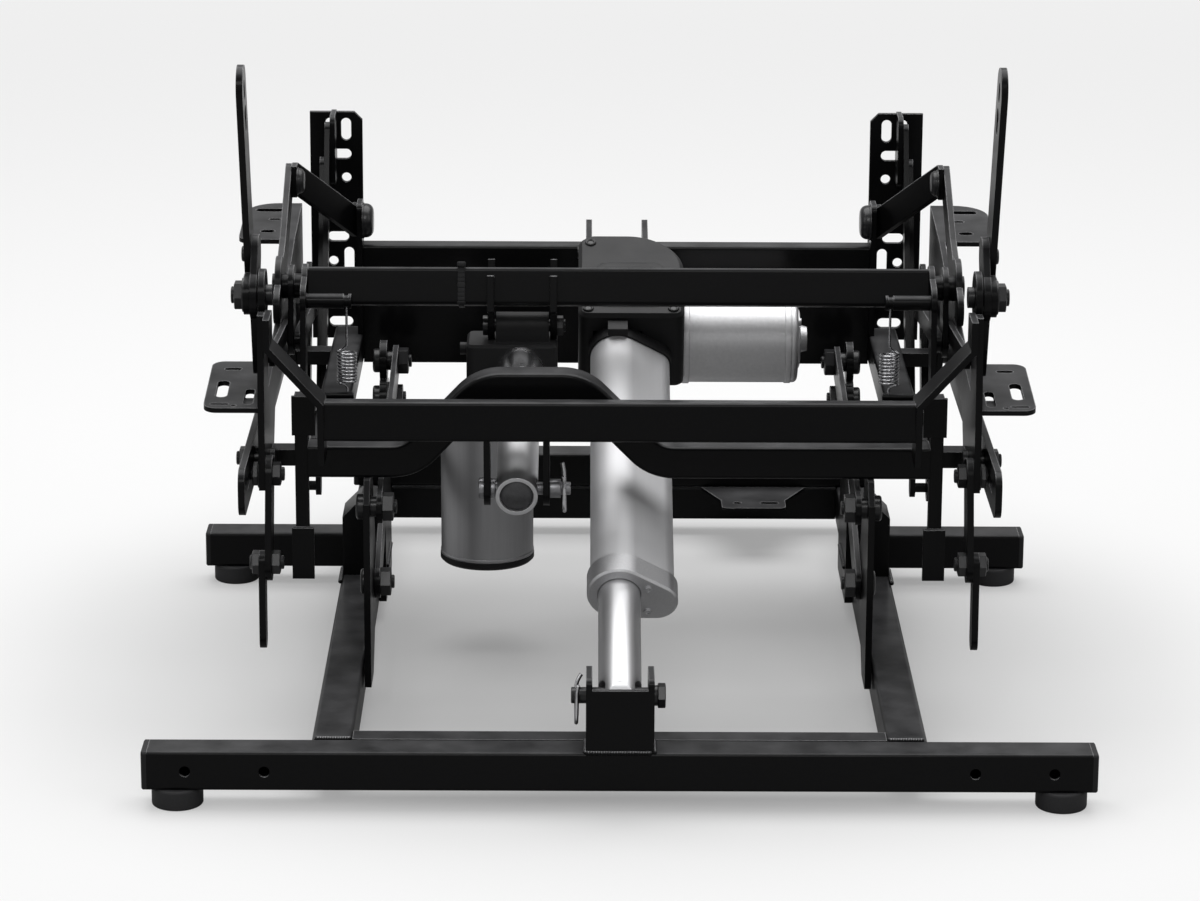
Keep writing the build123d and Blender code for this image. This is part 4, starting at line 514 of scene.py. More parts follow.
def pick(piece: Piece, test: Test, what: Pick = Pick.FACES) -> None:
    """Enter edit mode with only the faces or edges that pass a test selected.

    Args:
        piece: Piece to edit.
        test: Takes the middle and the normal, or the direction of an edge.
        what: Faces or edges.
    """
    hold(piece)
    mesh = piece.data
    for item in (*mesh.vertices, *mesh.edges, *mesh.polygons):
        item.select = False
    faces = what is Pick.FACES
    for item in mesh.polygons if faces else mesh.edges:
        if faces:
            item.select = bool(test(item.center, item.normal))
        else:
            first, last = (mesh.vertices[index].co for index in item.vertices)
            item.select = bool(test((first + last) / 2, (last - first).normalized()))
    bpy.context.tool_settings.mesh_select_mode = (False, not faces, faces)
    bpy.ops.object.mode_set(mode="EDIT")


def raise_up(height: float) -> None:
    """Extrude what is picked up along Z, in millimetres."""
    bpy.ops.mesh.extrude_region_move(TRANSFORM_OT_translate={"value": (0.0, 0.0, height * MILLI)})


def swell(height: float) -> None:
    """Extrude what is picked along its normals, in millimetres."""
    bpy.ops.mesh.extrude_region_shrink_fatten(TRANSFORM_OT_shrink_fatten={"value": height * MILLI})


def inset(thickness: float, depth: float = 0.0) -> None:
    """Inset the picked faces and raise or sink them, in millimetres."""
    bpy.ops.mesh.inset(thickness=thickness * MILLI, depth=depth * MILLI)


def cap(piece: Piece, *steps: Pair) -> None:
    """Inset a piece's top faces step by step and leave edit mode.

    Args:
        piece: Piece along Z.
        steps: Thickness and depth of each inset.
    """
    pick(piece, facing_up)
    for step in steps:
        inset(*step)
    clear()


def bevel(offset: float, segments: int) -> None:
    """Bevel the picked edges by an offset in millimetres."""
    bpy.ops.mesh.bevel(offset=offset * MILLI, segments=segments, affect="EDGES")


def modify(piece: Piece, kind: str, **settings: object) -> None:
    """Add a modifier, set it and apply it.

    Args:
        piece: Piece to change.
        kind: Blender's name of the modifier.
        settings: Properties of the modifier.
    """
    hold(piece)
    bpy.ops.object.modifier_add(type=kind)
    modifier = piece.modifiers[-1]
    for label, value in settings.items():
        setattr(modifier, label, value)
    bpy.ops.object.modifier_apply(modifier=modifier.name)


def twin(piece: Piece, matrix: Matrix) -> Piece:
    """Copy a master piece with its own mesh and set it at a place.

    Args:
        piece: Master piece.
        matrix: Where the copy goes.

    Returns:
        The copy.
    """
    copy = piece.copy()
    copy.data = piece.data.copy()
    bpy.context.scene.collection.objects.link(copy)
    copy.matrix_world = matrix @ piece.matrix_world
    return copy


def scrap(piece: Piece) -> None:
    """Throw away a master piece whose copies are in place."""
    bpy.data.objects.remove(piece, do_unlink=True)


def join(pieces: Sequence[Piece], place: Optional[Matrix] = None) -> Piece:
    """Join pieces into the first one.

    Args:
        pieces: Pieces to join.
        place: Where the whole goes, if it isn't there yet.

    Returns:
        The joined piece.
    """
    clear()
    for piece in pieces:
        piece.select_set(True)
    bpy.context.view_layer.objects.active = pieces[0]
    if len(pieces) > 1:
        bpy.ops.object.join()
    if place is not None:
        bpy.context.object.matrix_world = place
    return bpy.context.object


def settle(piece: Piece, name: str) -> None:
    """Name a finished piece, turn its faces out and put its place in its mesh.

    Args:
        piece: Finished piece.
        name: Name it gets.
    """
    hold(piece)
    fix()
    pick(piece, anything)
    bpy.ops.mesh.normals_make_consistent(inside=False)
    hold(piece)
    bpy.ops.object.shade_smooth_by_angle(angle=SMOOTH_ANGLE)
    piece.name = name
    piece.data.name = name


@dataclass
class SubAssembly:
    """Something that builds dressed pieces and rides them on bodies."""

    paint: Paintshop

    def hand_over(self, piece: Piece, name: str, body: str, finish: Finish, slot: str,
                  replaces: Sequence[str] = ()) -> None:
        """Settle, dress and mount one finished piece.

        Args:
            piece: Finished piece.
            name: Name it gets.
            body: Body it rides on.
            finish: Its finish.
            slot: Name of a material slot; not used.
            replaces: CAD nodes that it stands for.
        """
        settle(piece, name)
        self.paint.dress(piece, finish)
        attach(piece, body)
        if replaces:
            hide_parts(*replaces)
        log.info("built %s on %s", name, body)


# -------- small parts

class Rim(Enum):
    """Which ends of a turned piece are rounded."""

    TOP = "top"
    BOTTOM = "bottom"
    BOTH = "both"


@dataclass(frozen=True)
class Turned:
    """A round piece along Z with rounded rims, in millimetres."""

    radius: float
    bottom: float
    top: float
    sides: int
    rim: float
    steps: int = 2
    ends: Rim = Rim.TOP

    def model(self) -> Piece:
        """Model the piece and leave edit mode.

        Returns:
            The new piece.
        """
        piece = cylinder(self.radius, self.bottom, self.top, self.sides)
        levels = {Rim.TOP: (self.top,), Rim.BOTTOM: (self.bottom,), Rim.BOTH: (self.bottom, self.top)}[self.ends]
        pick(piece, lambda middle, way: any(abs(middle.z - z * MILLI) < NEAR for z in levels), Pick.EDGES)
        bevel(self.rim, self.steps)
        clear()
        return piece


@dataclass(frozen=True)
class Seat:
    """Where a fastener sits on a body's right side: (Y, Z), X of the face, and 1 if it points outward, else -1."""

    body: str
    place: Pair
    face: float
    outward: int
    radius: float


@dataclass(frozen=True)
class Nut(Seat):
    """One hexagon nut or bolt head over a CAD blank."""

    height: float
    tip: float = 2.0
    shank: float = 5.0
    washer: float = 0.0
    mirrored: bool = True


@dataclass(frozen=True)
class Dome(Seat):
    """A domed bolt head on an inner face."""

    height: float
    round_off: float
    name: str


@dataclass
class Fasteners(SubAssembly):
    """Chamfered nuts with threaded ends, domed bolts and rivet ends."""

    cover: float = 0.35
    chamfer: float = 1.1
    bolt_sides: int = 20
    bolt_below: float = 1.0
    bolt_above: float = 0.7
    thread_pitch: float = 0.8
    thread_groove: float = 0.5
    thread_flank: float = 0.3
    thread_crest: float = 1.1
    tip_chamfer: Pair = (0.7, 0.5)
    washer_ends: Pair = (-0.05, 1.3)
    washer_rim: float = 0.4
    washer_sides: int = 36
    dome_sides: int = 48
    dome_steps: int = 7
    flange_wider: float = 0.8
    flange_height: float = 1.6
    flange_rim: float = 0.6
    rivet_ends: Pair = (-0.6, 1.5)
    rivet_rim: float = 1.2
    rivet_sides: int = 28
    rivet_steps: int = 4
    rivet_dimple: Pair = (1.4, -0.5)
    nuts: Tuple[Nut, ...] = (
        Nut("base", (487.5, 209.5), 181.5, -1, 11.0, 8.0),
        Nut("base", (479.0, 180.0), 186.2, -1, 11.0, 8.0),
        Nut("carriage", (193.0, 170.5), 181.5, -1, 11.0, 8.0),
        Nut("carriage", (243.5, 94.0), 186.2, -1, 11.0, 8.0),
        Nut("carriage", (200.0, 207.0), 285.0, 1, 9.0, 6.0, washer=10.8),
        Nut("carriage", (530.0, 207.0), 285.0, 1, 9.0, 6.0, washer=10.8),
        Nut("carriage", (160.0, 206.0), 263.0, -1, 9.0, 6.0),
        Nut("carriage", (160.0, 206.0), 273.0, 1, 9.0, 5.0, tip=1.0, washer=10.8),
        Nut("carriage", (140.0, 142.0), 263.0, -1, 9.0, 6.0),
        Nut("carriage", (140.0, 142.0), 273.0, 1, 9.0, 5.0, tip=1.0),
        Nut("back", (187.0, 339.0), 284.6, 1, 11.0, 7.0, shank=6.0, washer=13.0),
        Nut("drive_tube", (373.0, 269.0), -49.0, 1, 8.0, 5.0, tip=0.5, mirrored=False),
    )
    domes: Tuple[Dome, ...] = (
        Dome("carriage", (552.0, 314.5), 214.0, -1, 14.4, 9.4, 6.4, "beam_end_domes"),
        Dome("carriage", (479.0, 364.0), 263.5, -1, 10.4, 6.4, 4.6, "tie_domes"),
    )
    rivets: Tuple[Seat, ...] = (
        Seat("drive_tube", (351.0, 262.0), 263.0, 1, 5.2),
        Seat("drive_tube", (359.0, 270.0), 267.7, 1, 5.2),
        Seat("footrest_main_links", (515.06, 113.65), 263.0, 1, 6.4),
        Seat("footrest_main_links", (512.86, 145.55), 263.0, 1, 6.4),
        Seat("footrest_main_links", (560.0, 240.0), 263.0, 1, 6.0),
        Seat("footrest_upper_links", (512.0, 93.5), 267.7, 1, 6.0),
    )

    def build(self) -> None:
        """Build the nuts, domes and rivet ends, one piece for each name."""
        batches: Dict[Tuple[str, str], List[Piece]] = {}
        for nut in self.nuts:
            pieces = self._spread(self._nut(nut), nut, SIDES if nut.mirrored else SIDES[:1])
            batches.setdefault((f"hex_nuts_{nut.body}", nut.body), []).extend(pieces)
        for dome in self.domes:
            batches[dome.name, dome.body] = self._spread(self._dome(dome), dome)
        for rivet in self.rivets:
            pieces = self._spread(self._rivet(rivet), rivet)
            batches.setdefault((f"rivet_ends_{rivet.body}", rivet.body), []).extend(pieces)
        for (name, body), pieces in batches.items():
            self.hand_over(join(pieces), name, body, BLACK_BOLT, "black_fastener")

    @staticmethod
    def _spread(master: Piece, seat: Seat, sides: Sequence[int] = SIDES) -> List[Piece]:
        """Copy a master that stands on Z = 0 to its seat on each side and throw it away.

        Args:
            master: The master piece.
            seat: Where it goes on the right side.
            sides: Signs of X that it goes to.

        Returns:
            The copies.
        """
        pieces = [twin(master, pose(spot(side * seat.face, *seat.place), RIGHT * side * seat.outward))
                  for side in sides]
        scrap(master)
        return pieces

    def _nut(self, nut: Nut) -> Piece:
        """Model one chamfered nut with its washer and a threaded end.

        Args:
            nut: Sizes of the nut.

        Returns:
            The master piece.
        """
        top = nut.height + self.cover - self.chamfer / 2
        head = cylinder(nut.radius + self.cover, 0.0, top, HEX_SIDES, HEX_TURN)
        cap(head, (self.chamfer, self.chamfer / 2))
        bolt = cylinder(nut.shank + self.cover, nut.height - self.bolt_below, nut.height + self.bolt_above,
                        self.bolt_sides)
        pick(bolt, facing_up)
        for _ in range(max(1, int(nut.tip / self.thread_pitch))):
            inset(self.thread_groove)
            raise_up(self.thread_flank)
            bpy.ops.transform.resize(value=(self.thread_crest, self.thread_crest, 1.0))
            raise_up(self.thread_pitch - self.thread_flank)
        inset(*self.tip_chamfer)
        pieces = [head, bolt]
        if nut.washer:
            pieces.append(Turned(nut.washer, *self.washer_ends, self.washer_sides, self.washer_rim).model())
        return join(pieces)

    def _dome(self, dome: Dome) -> Piece:
        """Model one domed bolt head with its thin flange.

        Args:
            dome: Sizes of the head.

        Returns:
            The master piece.
        """
        head = Turned(dome.radius, 0.0, dome.height, self.dome_sides, dome.round_off, self.dome_steps)
        flange = Turned(dome.radius + self.flange_wider, 0.0, self.flange_height, self.dome_sides, self.flange_rim)
        return join([head.model(), flange.model()])

    def _rivet(self, rivet: Seat) -> Piece:
        """Model one swaged rivet end.

        Args:
            rivet: Its radius and seat.

        Returns:
            The master piece.
        """
        master = Turned(rivet.radius, *self.rivet_ends, self.rivet_sides, self.rivet_rim, self.rivet_steps).model()
        cap(master, self.rivet_dimple)
        return master


@dataclass(frozen=True)
class WireClip:
    """A bent spring clip of round wire, along places in millimetres round its pin's centre."""

    radius: float
    bends: Tuple[Place, ...]
    order: int = 3
    bend_steps: int = 6
    round_steps: int = 4

    def model(self, x: float, y: float, z: float) -> Piece:
        """Bend the wire round a pin.

        Args:
            x: X of the clip's plane.
            y: Y of the pin's axis.
            z: Z of the pin's axis.

        Returns:
            The wire as a mesh.
        """
        points = [spot(x + side, y + across, z + up) for side, across, up in self.bends]
        clear()
        bpy.ops.curve.primitive_nurbs_path_add(location=(0.0, 0.0, 0.0))
        wire = bpy.context.object
        spline = wire.data.splines[0]
        spline.points.add(len(points) - len(spline.points))
        for point, place in zip(spline.points, points):
            point.co = (*place, 1.0)
        spline.order_u = self.order
        spline.use_endpoint_u = True
        spline.resolution_u = self.bend_steps
        wire.data.bevel_depth = self.radius * MILLI
        wire.data.bevel_resolution = self.round_steps
        wire.data.use_fill_caps = True
        bpy.ops.object.convert(target="MESH")
        return bpy.context.object


@dataclass
class BaseDetails(SubAssembly):
    """Pin and spring clip of the base's clevis."""

    pin_place: Pair = (11.0, 81.0)
    pin: Turned = Turned(6.0, -36.0, 28.0, 40, 0.8, ends=Rim.BOTTOM)
    collar: Turned = Turned(7.6, 25.0, 28.4, 40, 0.5)
    head_radius: float = 9.4
    head_ends: Pair = (28.0, 33.0)
    head_chamfer: Pair = (1.0, 0.5)
    clip_x: float = -31.6
    clip: WireClip = WireClip(1.5, (
        (3.2, 1.5, 16.0), (0.4, 0.5, 12.0), (-0.6, 0.0, 7.0), (-0.6, 0.0, -7.5), (-0.5, 0.0, -13.0),
        (-0.5, -1.5, -18.3), (-0.5, -6.0, -20.0), (-0.3, -9.5, -15.0), (0.0, -8.6, -8.0), (0.0, -7.8, 0.0),
        (0.0, -9.8, 6.0), (1.0, -10.5, 11.0)))

    def build(self) -> None:
        """Build the headed clevis pin and bend its clip."""
        pieces = [self.pin.model(), self.collar.model(),
                  cylinder(self.head_radius, *self.head_ends, HEX_SIDES, HEX_TURN)]
        for end in (1, -1):
            pick(pieces[-1], lambda middle, normal: normal.z * end > 0.9)
            inset(*self.head_chamfer)
        piece = join(pieces, pose(spot(0.0, *self.pin_place), RIGHT))
        self.hand_over(piece, "clevis_pin_turned", "base", BLACK_BOLT, "black_fastener", ("clevis_pin",))
        wire = self.clip.model(self.clip_x, *self.pin_place)
        self.hand_over(wire, "clevis_clip_wire", "base", BRIGHT_ZINC, "bright_zinc")


@dataclass
class LiftActuator(SubAssembly):
    """Details of the lift actuator, drawn in a frame at its front pin whose Y runs up the barrel."""

    front_pin: Pair = (517.0, 295.5)
    motor_place: Pair = (-85.0, -24.0)
    motor_rings: Tuple[Turned, ...] = (Turned(37.2, 53.0, 59.0, 72, 0.7, 3, Rim.BOTH),
                                       Turned(36.7, 137.0, 142.5, 72, 0.7, 3, Rim.BOTH))
    cup_radius: float = 24.0
    cup_ends: Pair = (147.0, 149.4)
    cup_steps: Tuple[Pair, ...] = ((1.5, 0.6), (6.0, -0.8))
    end_screw_radius: float = 3.2
    end_screw_ends: Pair = (147.5, 150.2)
    end_screw_socket: Pair = (1.6, -1.0)
    end_screw_circle: float = 29.5
    end_screw_turns: Tuple[float, ...] = (25.0, 205.0)
    lid_screw: Turned = Turned(4.6, 33.0, 35.6, 28, 1.2, 3)
    lid_screw_socket: Pair = (1.4, -1.2)
    lid_screw_places: Tuple[Pair, ...] = ((-24.0, -121.0), (45.0, -121.0), (-24.0, -72.0), (44.0, -82.0),
                                          (-22.0, -32.0))
    lid_corners: Tuple[Place, Place] = ((-17.0, -116.0, 33.5), (38.0, -62.0, 36.4))
    lid_round: float = 9.0
    lid_steps: Tuple[Pair, ...] = ((1.4, 0.8), (5.0, -0.9))
    rib_places: Tuple[float, ...] = (-8.0, 10.0, 28.0)
    rib_half_width: float = 1.2
    rib_length: Pair = (-108.0, -70.0)
    rib_height: Pair = (35.4, 38.0)
    rib_round: float = 0.8

    def axis_frame(self) -> Matrix:
        """Frame at the front pin whose Y runs up the barrel."""
        return upright(spot(0.0, *self.front_pin), LIFT_SLOPE)

    def build(self) -> None:
        """Build the motor's rims and the gear housing's details."""
        self._motor_rims()
        self._housing_screws()
        self._housing_lid()

    def _motor_rims(self) -> None:
        """Model the crimped end ring, the seam ring and the end screws of the motor."""
        pieces = [ring.model() for ring in self.motor_rings]
        pieces.append(cylinder(self.cup_radius, *self.cup_ends, sides=56))
        cap(pieces[-1], *self.cup_steps)
        for turn in self.end_screw_turns:
            screw = cylinder(self.end_screw_radius, *self.end_screw_ends, sides=20)
            cap(screw, self.end_screw_socket)
            angle = math.radians(turn)
            screw.location = Vector((math.cos(angle), math.sin(angle), 0.0)) * self.end_screw_circle * MILLI
            pieces.append(screw)
        place = self.axis_frame() @ Matrix.Translation(Vector((0.0, *self.motor_place)) * MILLI)
        piece = join(pieces, place @ Matrix.Rotation(math.radians(90.0), 4, "Y"))
        self.hand_over(piece, "lift_motor_rims", "lift_actuator", PLATED_CAN, "motor_steel")

    def _housing_screws(self) -> None:
        """Model the screws in the gear housing's top."""
        master = self.lid_screw.model()
        cap(master, self.lid_screw_socket)
        pieces = [twin(master, self.axis_frame() @ Matrix.Translation(Vector((x, y, 0.0)) * MILLI))
                  for x, y in self.lid_screw_places]
        scrap(master)
        self.hand_over(join(pieces), "lift_housing_screws", "lift_actuator", BLACK_BOLT, "black_fastener")

    def _housing_lid(self) -> None:
        """Model the raised lid with its ribs on the gear housing."""
        lid = block(*self.lid_corners)
        pick(lid, lambda middle, way: abs(way.z) > 0.9, Pick.EDGES)
        bevel(self.lid_round, 5)
        cap(lid, *self.lid_steps)
        pieces = [lid]
        bottom, top = self.rib_height
        for x in self.rib_places:
            rib = block((x - self.rib_half_width, self.rib_length[0], bottom),
                        (x + self.rib_half_width, self.rib_length[1], top))
            pick(rib, lambda middle, way: middle.z > (top - 0.1) * MILLI, Pick.EDGES)
            bevel(self.rib_round, 2)
            pieces.append(rib)
        piece = join(pieces, self.axis_frame())
        self.hand_over(piece, "lift_housing_lid", "lift_actuator", MOULDED_PLASTIC, "black_plastic")


@dataclass
class ReclineActuator(SubAssembly):
    """Details of the recline actuator and the tie on the drive tube."""

    x: float = -78.0
    eye: Pair = (164.86, 194.57)
    plug_radius: float = 12.9
    plug_height: float = 4.2
    plug_along: float = -12.4
    pin_place: Pair = (166.0, 193.5)
    pin_parts: Tuple[Turned, ...] = (
        Turned(5.0, -25.0, 41.0, 36, 0.8), Turned(8.2, -29.2, -25.0, 40, 1.2, 3, Rim.BOTTOM),
        Turned(7.6, -19.8, -16.4, 36, 0.4), Turned(7.2, 25.1, 33.4, 36, 0.4))
    clip_x: float = -42.0
    clip: WireClip = WireClip(1.5, (
        (-1.5, 1.0, 20.0), (-0.4, 0.5, 15.0), (0.0, 0.0, 7.0), (0.0, 0.0, -7.0), (0.2, -0.5, -12.0),
        (0.4, -3.0, -16.6), (0.2, -7.0, -16.0), (0.0, -8.6, -9.5), (0.0, -7.4, -3.0), (0.0, -7.2, 3.0),
        (0.0, -9.0, 8.0), (-0.5, -9.5, 12.0)))
    collar_radius: float = 20.6
    collar_ends: Pair = (-7.0, 0.0)
    collar_along: float = 163.8
    collar_wall: float = 3.4
    collar_sides: int = 48
    sides_per_tooth: int = 4
    tooth_height: float = 1.3
    motor_rings: Tuple[Turned, ...] = (Turned(38.2, 184.0, 190.0, 80, 0.5, ends=Rim.BOTH),
                                       Turned(38.0, 79.0, 82.0, 80, 0.5, ends=Rim.BOTH))
    motor_place: Pair = (-105.5, 375.0)
    tube_place: Pair = (360.0, 304.0)
    tube_tilt: float = -16.0
    tie_x: float = -125.0
    tie_half: float = 15.25
    tie_half_width: float = 2.2
    tie_corner: float = 2.6
    tie_flat: float = 1.25
    tie_wall: float = 1.1
    rib_pitch: float = 1.7
    rib_height: float = 0.55
    tie_head: Tuple[Place, Place] = ((-3.4, -17.6, 15.0), (3.4, -12.0, 19.2))
    tie_head_round: float = 0.8

    def along(self, distance: float) -> Matrix:
        """Frame on the rod's axis whose Z runs up the rod."""
        start = upright(spot(self.x, *self.eye), RECLINE_SLOPE)
        return start @ Matrix.Rotation(math.radians(-90.0), 4, "X") @ Matrix.Translation((0, 0, distance * MILLI))

    def build(self) -> None:
        """Build the plug, pin, clip, toothed collar, motor rims and cable tie."""
        self._plug()
        self._pin()
        self._collar()
        self._motor_rims()
        self._cable_tie()

    def _plug(self) -> None:
        """Model the domed plug in the rod's open end."""
        sphere = (self.plug_radius ** 2 + self.plug_height ** 2) / (2 * self.plug_height)
        clear()
        bpy.ops.mesh.primitive_uv_sphere_add(segments=48, ring_count=96, radius=sphere * MILLI,
                                             location=(0.0, 0.0, (sphere - self.plug_height) * MILLI))
        dome = fix()
        pick(dome, anything)
        bpy.ops.mesh.bisect(plane_co=(0.0, 0.0, 0.0), plane_no=(0.0, 0.0, 1.0), use_fill=True, clear_outer=True)
        clear()
        dome.matrix_world = self.along(self.plug_along)
        self.hand_over(dome, "recline_rod_plug", "recline_rod", DARK_PLUG, "black_fastener")

    def _pin(self) -> None:
        """Model the rear pin with its head and sleeves, and the spring clip at its tail."""
        piece = join([part.model() for part in self.pin_parts], pose(spot(self.x, *self.pin_place), RIGHT))
        self.hand_over(piece, "recline_pin_turned", "carriage", DULL_ZINC, "bright_zinc", ("recline_rear_pin",))
        wire = self.clip.model(self.clip_x, *self.pin_place)
        self.hand_over(wire, "recline_clip_wire", "carriage", BRIGHT_ZINC, "bright_zinc")

    def _collar(self) -> None:
        """Model the toothed zinc ring round the rod in front of its housing."""
        ring = cylinder(self.collar_radius, *self.collar_ends, self.collar_sides, ends="NOTHING")
        step, gap = 360.0 / self.collar_sides, self.sides_per_tooth / 2

        def on_tooth(middle: Vector, normal: Vector) -> bool:
            """Tell whether a face is on the first half of its tooth's share of the ring."""
            return int((math.degrees(math.atan2(middle.y, middle.x)) + 720.0) / step) % self.sides_per_tooth < gap

        pick(ring, on_tooth)
        swell(self.tooth_height)
        clear()
        modify(ring, "SOLIDIFY", thickness=self.collar_wall * MILLI, offset=-1.0)
        ring.matrix_world = self.along(self.collar_along)
        self.hand_over(ring, "recline_collar_teeth", "recline_actuator", BRIGHT_ZINC, "bright_zinc")

    def _motor_rims(self) -> None:
        """Model the pressed rims and the seam of the upright motor."""
        place = Matrix.Translation(spot(*self.motor_place, 0.0))
        piece = join([ring.model() for ring in self.motor_rings], place)
        self.hand_over(piece, "recline_motor_rims", "recline_actuator", DRAWN_CAN, "motor_steel")

    def _cable_tie(self) -> None:
        """Model the ribbed cable tie round the drive tube."""
        corner = (self.tie_half_width, self.tie_half, self.tie_half)
        band = block(tuple(-size for size in corner), corner)
        pick(band, lambda middle, way: abs(way.x) > 0.9, Pick.EDGES)
        bevel(self.tie_corner, 4)
        near = (self.tie_flat - self.tie_half) * MILLI
        pick(band, lambda middle, way: abs(way.z) > 0.9 and middle.y < near, Pick.EDGES)
        bpy.ops.mesh.subdivide(number_cuts=14)
        pick(band, lambda middle, normal: abs(normal.x) > 0.9)
        bpy.ops.mesh.delete(type="FACE")
        clear()
        pitch = self.rib_pitch * MILLI
        pick(band, lambda middle, normal: normal.y < -0.9 and int(middle.z / pitch + 20) % 2 == 0)
        swell(self.rib_height)
        clear()
        modify(band, "SOLIDIFY", thickness=self.tie_wall * MILLI, offset=1.0)
        head = block(*self.tie_head)
        pick(head, anything, Pick.EDGES)
        bevel(self.tie_head_round, 2)
        piece = join([band, head], upright(spot(self.tie_x, *self.tube_place), self.tube_tilt))
        self.hand_over(piece, "cable_tie", "drive_tube", MOULDED_PLASTIC, "black_plastic")


@dataclass(frozen=True)
class Seam:
    """A straight weld on the right side of the base, and whether the left side has it too."""

    start: Place
    end: Place
    mirrored: bool = True


@dataclass
class Welds(SubAssembly):
    """Rippled weld beads where the base's tubes and plates meet."""

    ripple: float = 1.5
    ripple_stretch: float = 1.25
    pitch: float = 1.9
    seams: Tuple[Seam, ...] = (
        Seam((-24.0, -14.6, 45.2), (24.0, -14.6, 45.2), False),
        Seam((25.2, -13.0, 45.2), (25.2, 14.0, 45.2)),
        Seam((197.0, 15.2, 17.5), (197.0, 15.2, 42.5)),
        Seam((227.0, 15.2, 17.5), (227.0, 15.2, 42.5)),
        Seam((199.0, 15.2, 45.2), (225.0, 15.2, 45.2)),
        Seam((227.2, 533.0, 45.2), (227.2, 560.0, 45.2)),
        Seam((190.6, 440.0, 45.2), (190.6, 505.0, 45.2)),
        Seam((227.2, 396.0, 45.2), (227.2, 434.0, 45.2)),
    )

    def build(self) -> None:
        """Lay every seam and join the beads."""
        beads = []
        for seam in self.seams:
            for side in SIDES if seam.mirrored else SIDES[:1]:
                start, end = (spot(side * place[0], *place[1:]) for place in (seam.start, seam.end))
                beads.append(self._bead(start, end))
        self.hand_over(join(beads), "weld_beads_base", "base", POWDER_COAT, "black_steel")

    def _bead(self, start: Vector, end: Vector) -> Piece:
        """Lay one bead of overlapping ripples.

        Args:
            start: One end of the seam.
            end: Its other end.

        Returns:
            The bead.
        """
        length = (end - start).length
        count = max(2, round(length / (self.pitch * MILLI)))
        clear()
        bpy.ops.mesh.primitive_ico_sphere_add(subdivisions=2, radius=self.ripple * MILLI)
        ripple = bpy.context.object
        pick(ripple, anything)
        bpy.ops.transform.resize(value=(self.ripple_stretch, self.ripple_stretch, 1.0))
        clear()
        modify(ripple, "ARRAY", count=count, use_relative_offset=False, use_constant_offset=True,
               constant_offset_displace=(0.0, 0.0, length / count))
        ripple.matrix_world = pose(start, (end - start).normalized())
        return ripple


# -------- studio

@dataclass(frozen=True)
class SoftLamp:
    """A large soft lamp of the studio."""

    name: str
    place: Place
    target: Place
    size: Pair
    watts: float


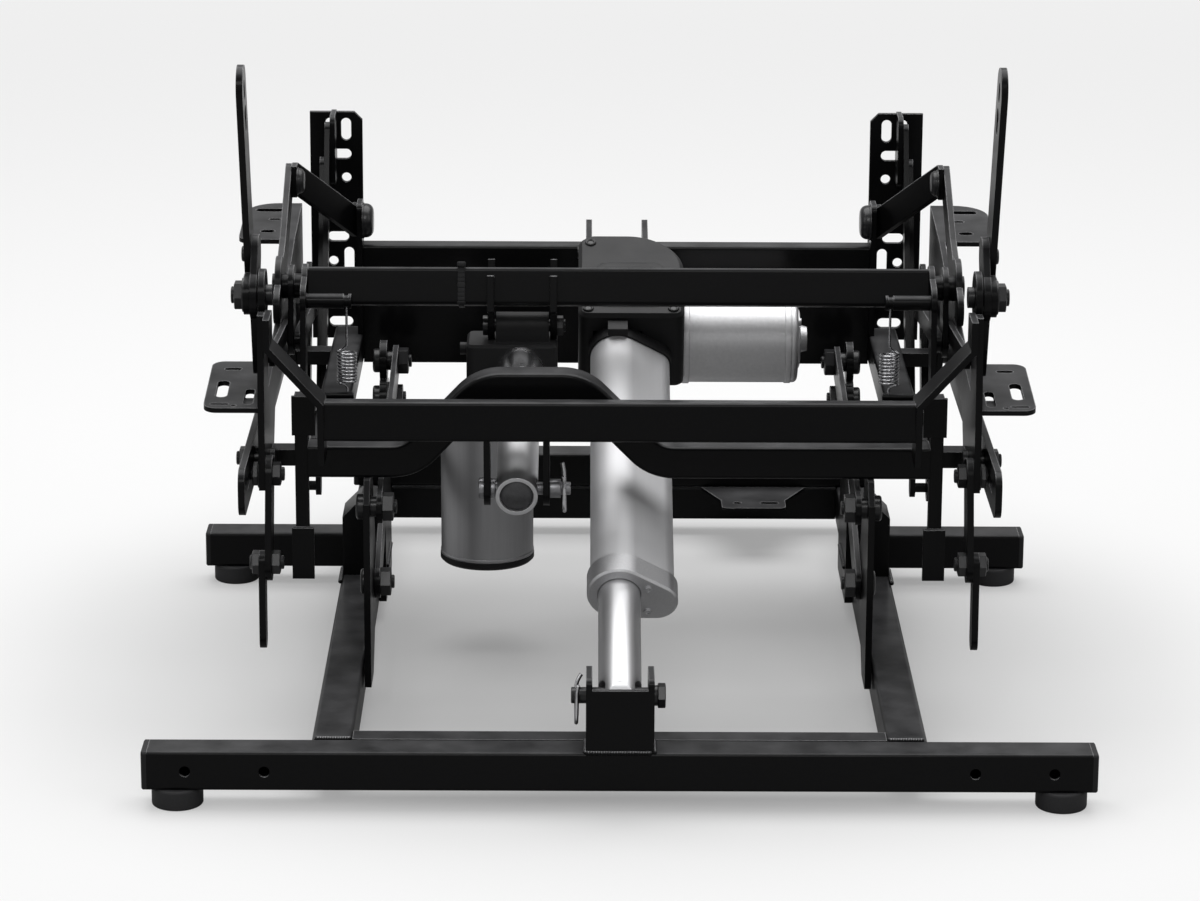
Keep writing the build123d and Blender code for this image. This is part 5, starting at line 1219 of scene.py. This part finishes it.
@dataclass
class Studio:
    """Pale floor, soft light and the photograph's camera."""

    camera_place: Place = (-0.0289, -3.2397, 1.0941)
    pitch: float = 15.87
    yaw: float = 0.262
    roll: float = 0.284
    focal_pixels: float = 4191.2
    clip: Pair = (0.05, 60.0)
    picture_width: float = 1200.0
    sensor: float = 36.0
    floor_tone: float = 0.38
    world_tone: float = 0.42
    paper_rough: float = 0.9
    paper_specular: float = 0.1
    near_glow: Four = (0.15, 0.62, 0.20, 0.47)
    far_glow: Four = (1.0, 5.0, 0.0, 0.25)
    mirrored_from: Pair = (0.3, 1.3)
    floor_width: float = 30.0
    floor_reach: Pair = (-8.0, 14.0)
    lamps: Tuple[SoftLamp, ...] = (
        SoftLamp("overhead_softbox", (0.0, 0.6, 2.3), (0.0, 0.3, 0.2), (2.8, 2.2), 62.0),
        SoftLamp("left_softbox", (-2.0, -1.4, 1.5), (0.0, 0.0, 0.2), (1.2, 1.6), 9.0),
        SoftLamp("right_softbox", (2.0, -1.4, 1.5), (0.0, 0.0, 0.2), (1.2, 1.6), 7.0),
        SoftLamp("front_fill", (-0.1, -3.0, 2.4), (0.0, 0.0, 0.2), (1.2, 1.0), 18.0),
    )

    def build(self) -> None:
        """Make the camera, lamps, world and floor."""
        self._camera()
        for lamp in self.lamps:
            self._lamp(lamp)
        self._world()
        self._floor()
        bpy.context.scene.view_settings.view_transform = "Standard"

    def _camera(self) -> None:
        """Camera where the photograph was taken from."""
        data = bpy.data.cameras.new("photo_camera")
        data.sensor_width = self.sensor
        data.lens = self.focal_pixels / self.picture_width * self.sensor
        data.clip_start, data.clip_end = self.clip
        camera = self._put(data)
        turn = Matrix.Rotation(-math.radians(self.yaw), 4, "Z")
        turn @= Matrix.Rotation(math.radians(90.0 - self.pitch), 4, "X")
        turn @= Matrix.Rotation(math.radians(self.roll), 4, "Z")
        camera.matrix_world = Matrix.Translation(self.camera_place) @ turn
        bpy.context.scene.camera = camera

    @staticmethod
    def _put(data: bpy.types.ID) -> Piece:
        """Put a camera or lamp in the scene under its data's name.

        Args:
            data: Its camera or lamp data.

        Returns:
            The new object.
        """
        item = bpy.data.objects.new(data.name, data)
        bpy.context.scene.collection.objects.link(item)
        return item

    def _lamp(self, lamp: SoftLamp) -> None:
        """One area lamp turned to its target.

        Args:
            lamp: Its sizes and places.
        """
        data = bpy.data.lights.new(lamp.name, "AREA")
        data.shape = "RECTANGLE"
        data.size, data.size_y = lamp.size
        data.energy = lamp.watts
        light = self._put(data)
        light.location = lamp.place
        light.rotation_mode = "QUATERNION"
        light.rotation_quaternion = (Vector(lamp.target) - Vector(lamp.place)).to_track_quat("-Z", "Y")

    def _world(self) -> None:
        """Even surroundings; the white that shows behind the mechanism is the floor's paper."""
        world = bpy.data.worlds.new("studio_world")
        world.use_nodes = True
        background = world.node_tree.nodes["Background"]
        Wiring(world.node_tree).feed(background, {"Color": (1.0, 1.0, 1.0), "Strength": self.world_tone})
        bpy.context.scene.world = world

    def _floor(self) -> None:
        """Large pale floor under and behind the mechanism."""
        bpy.ops.object.select_all(action="DESELECT")
        bpy.ops.mesh.primitive_plane_add(size=1.0, location=(0.0, 0.0, 0.0))
        floor = bpy.context.object
        floor.name = "studio_floor"
        for vertex in floor.data.vertices:
            vertex.co.x *= self.floor_width
            vertex.co.y = self.floor_reach[0] if vertex.co.y < 0 else self.floor_reach[1]
        floor.data.materials.append(self._paper())

    def _paper(self) -> bpy.types.Material:
        """White paper that keeps the shadow and reads white to the camera and in reflections.

        Returns:
            The floor's material.
        """
        material = bpy.data.materials.new("studio_paper")
        material.use_nodes = True
        wiring = Wiring(material.node_tree)
        place = wiring.place()
        away = wiring.add("ShaderNodeVectorMath", {0: place}, operation="LENGTH").outputs["Value"]
        glow = []
        for steps in (self.near_glow, self.far_glow):
            feeds = dict(zip(("From Min", "From Max", "To Min", "To Max"), steps), Value=away)
            glow.append(wiring.add("ShaderNodeMapRange", feeds, interpolation_type="SMOOTHSTEP").outputs[0])
        path = wiring.add("ShaderNodeLightPath").outputs
        behind = wiring.ramp(wiring.part(place, "Y"), *self.mirrored_from)
        mirrored = wiring.maths("MULTIPLY", behind, path["Is Glossy Ray"])
        seen = wiring.maths("MAXIMUM", path["Is Camera Ray"], mirrored)
        wiring.feed(material.node_tree.nodes["Principled BSDF"], {
            "Base Color": (self.floor_tone,) * 3, "Roughness": self.paper_rough,
            "Specular IOR Level": self.paper_specular, "Emission Color": (1.0, 1.0, 1.0),
            "Emission Strength": wiring.maths("MULTIPLY", wiring.maths("ADD", *glow), seen)})
        return material


def main() -> None:
    """Build the scene."""
    logging.basicConfig(level=logging.INFO, format="%(message)s")
    paint = Paintshop()
    paint.dress_cad()
    for workshop in (BaseDetails, LiftActuator, ReclineActuator, Fasteners, Welds):
        workshop(paint).build()
    Studio().build()


if __name__ == "__main__":
    main()
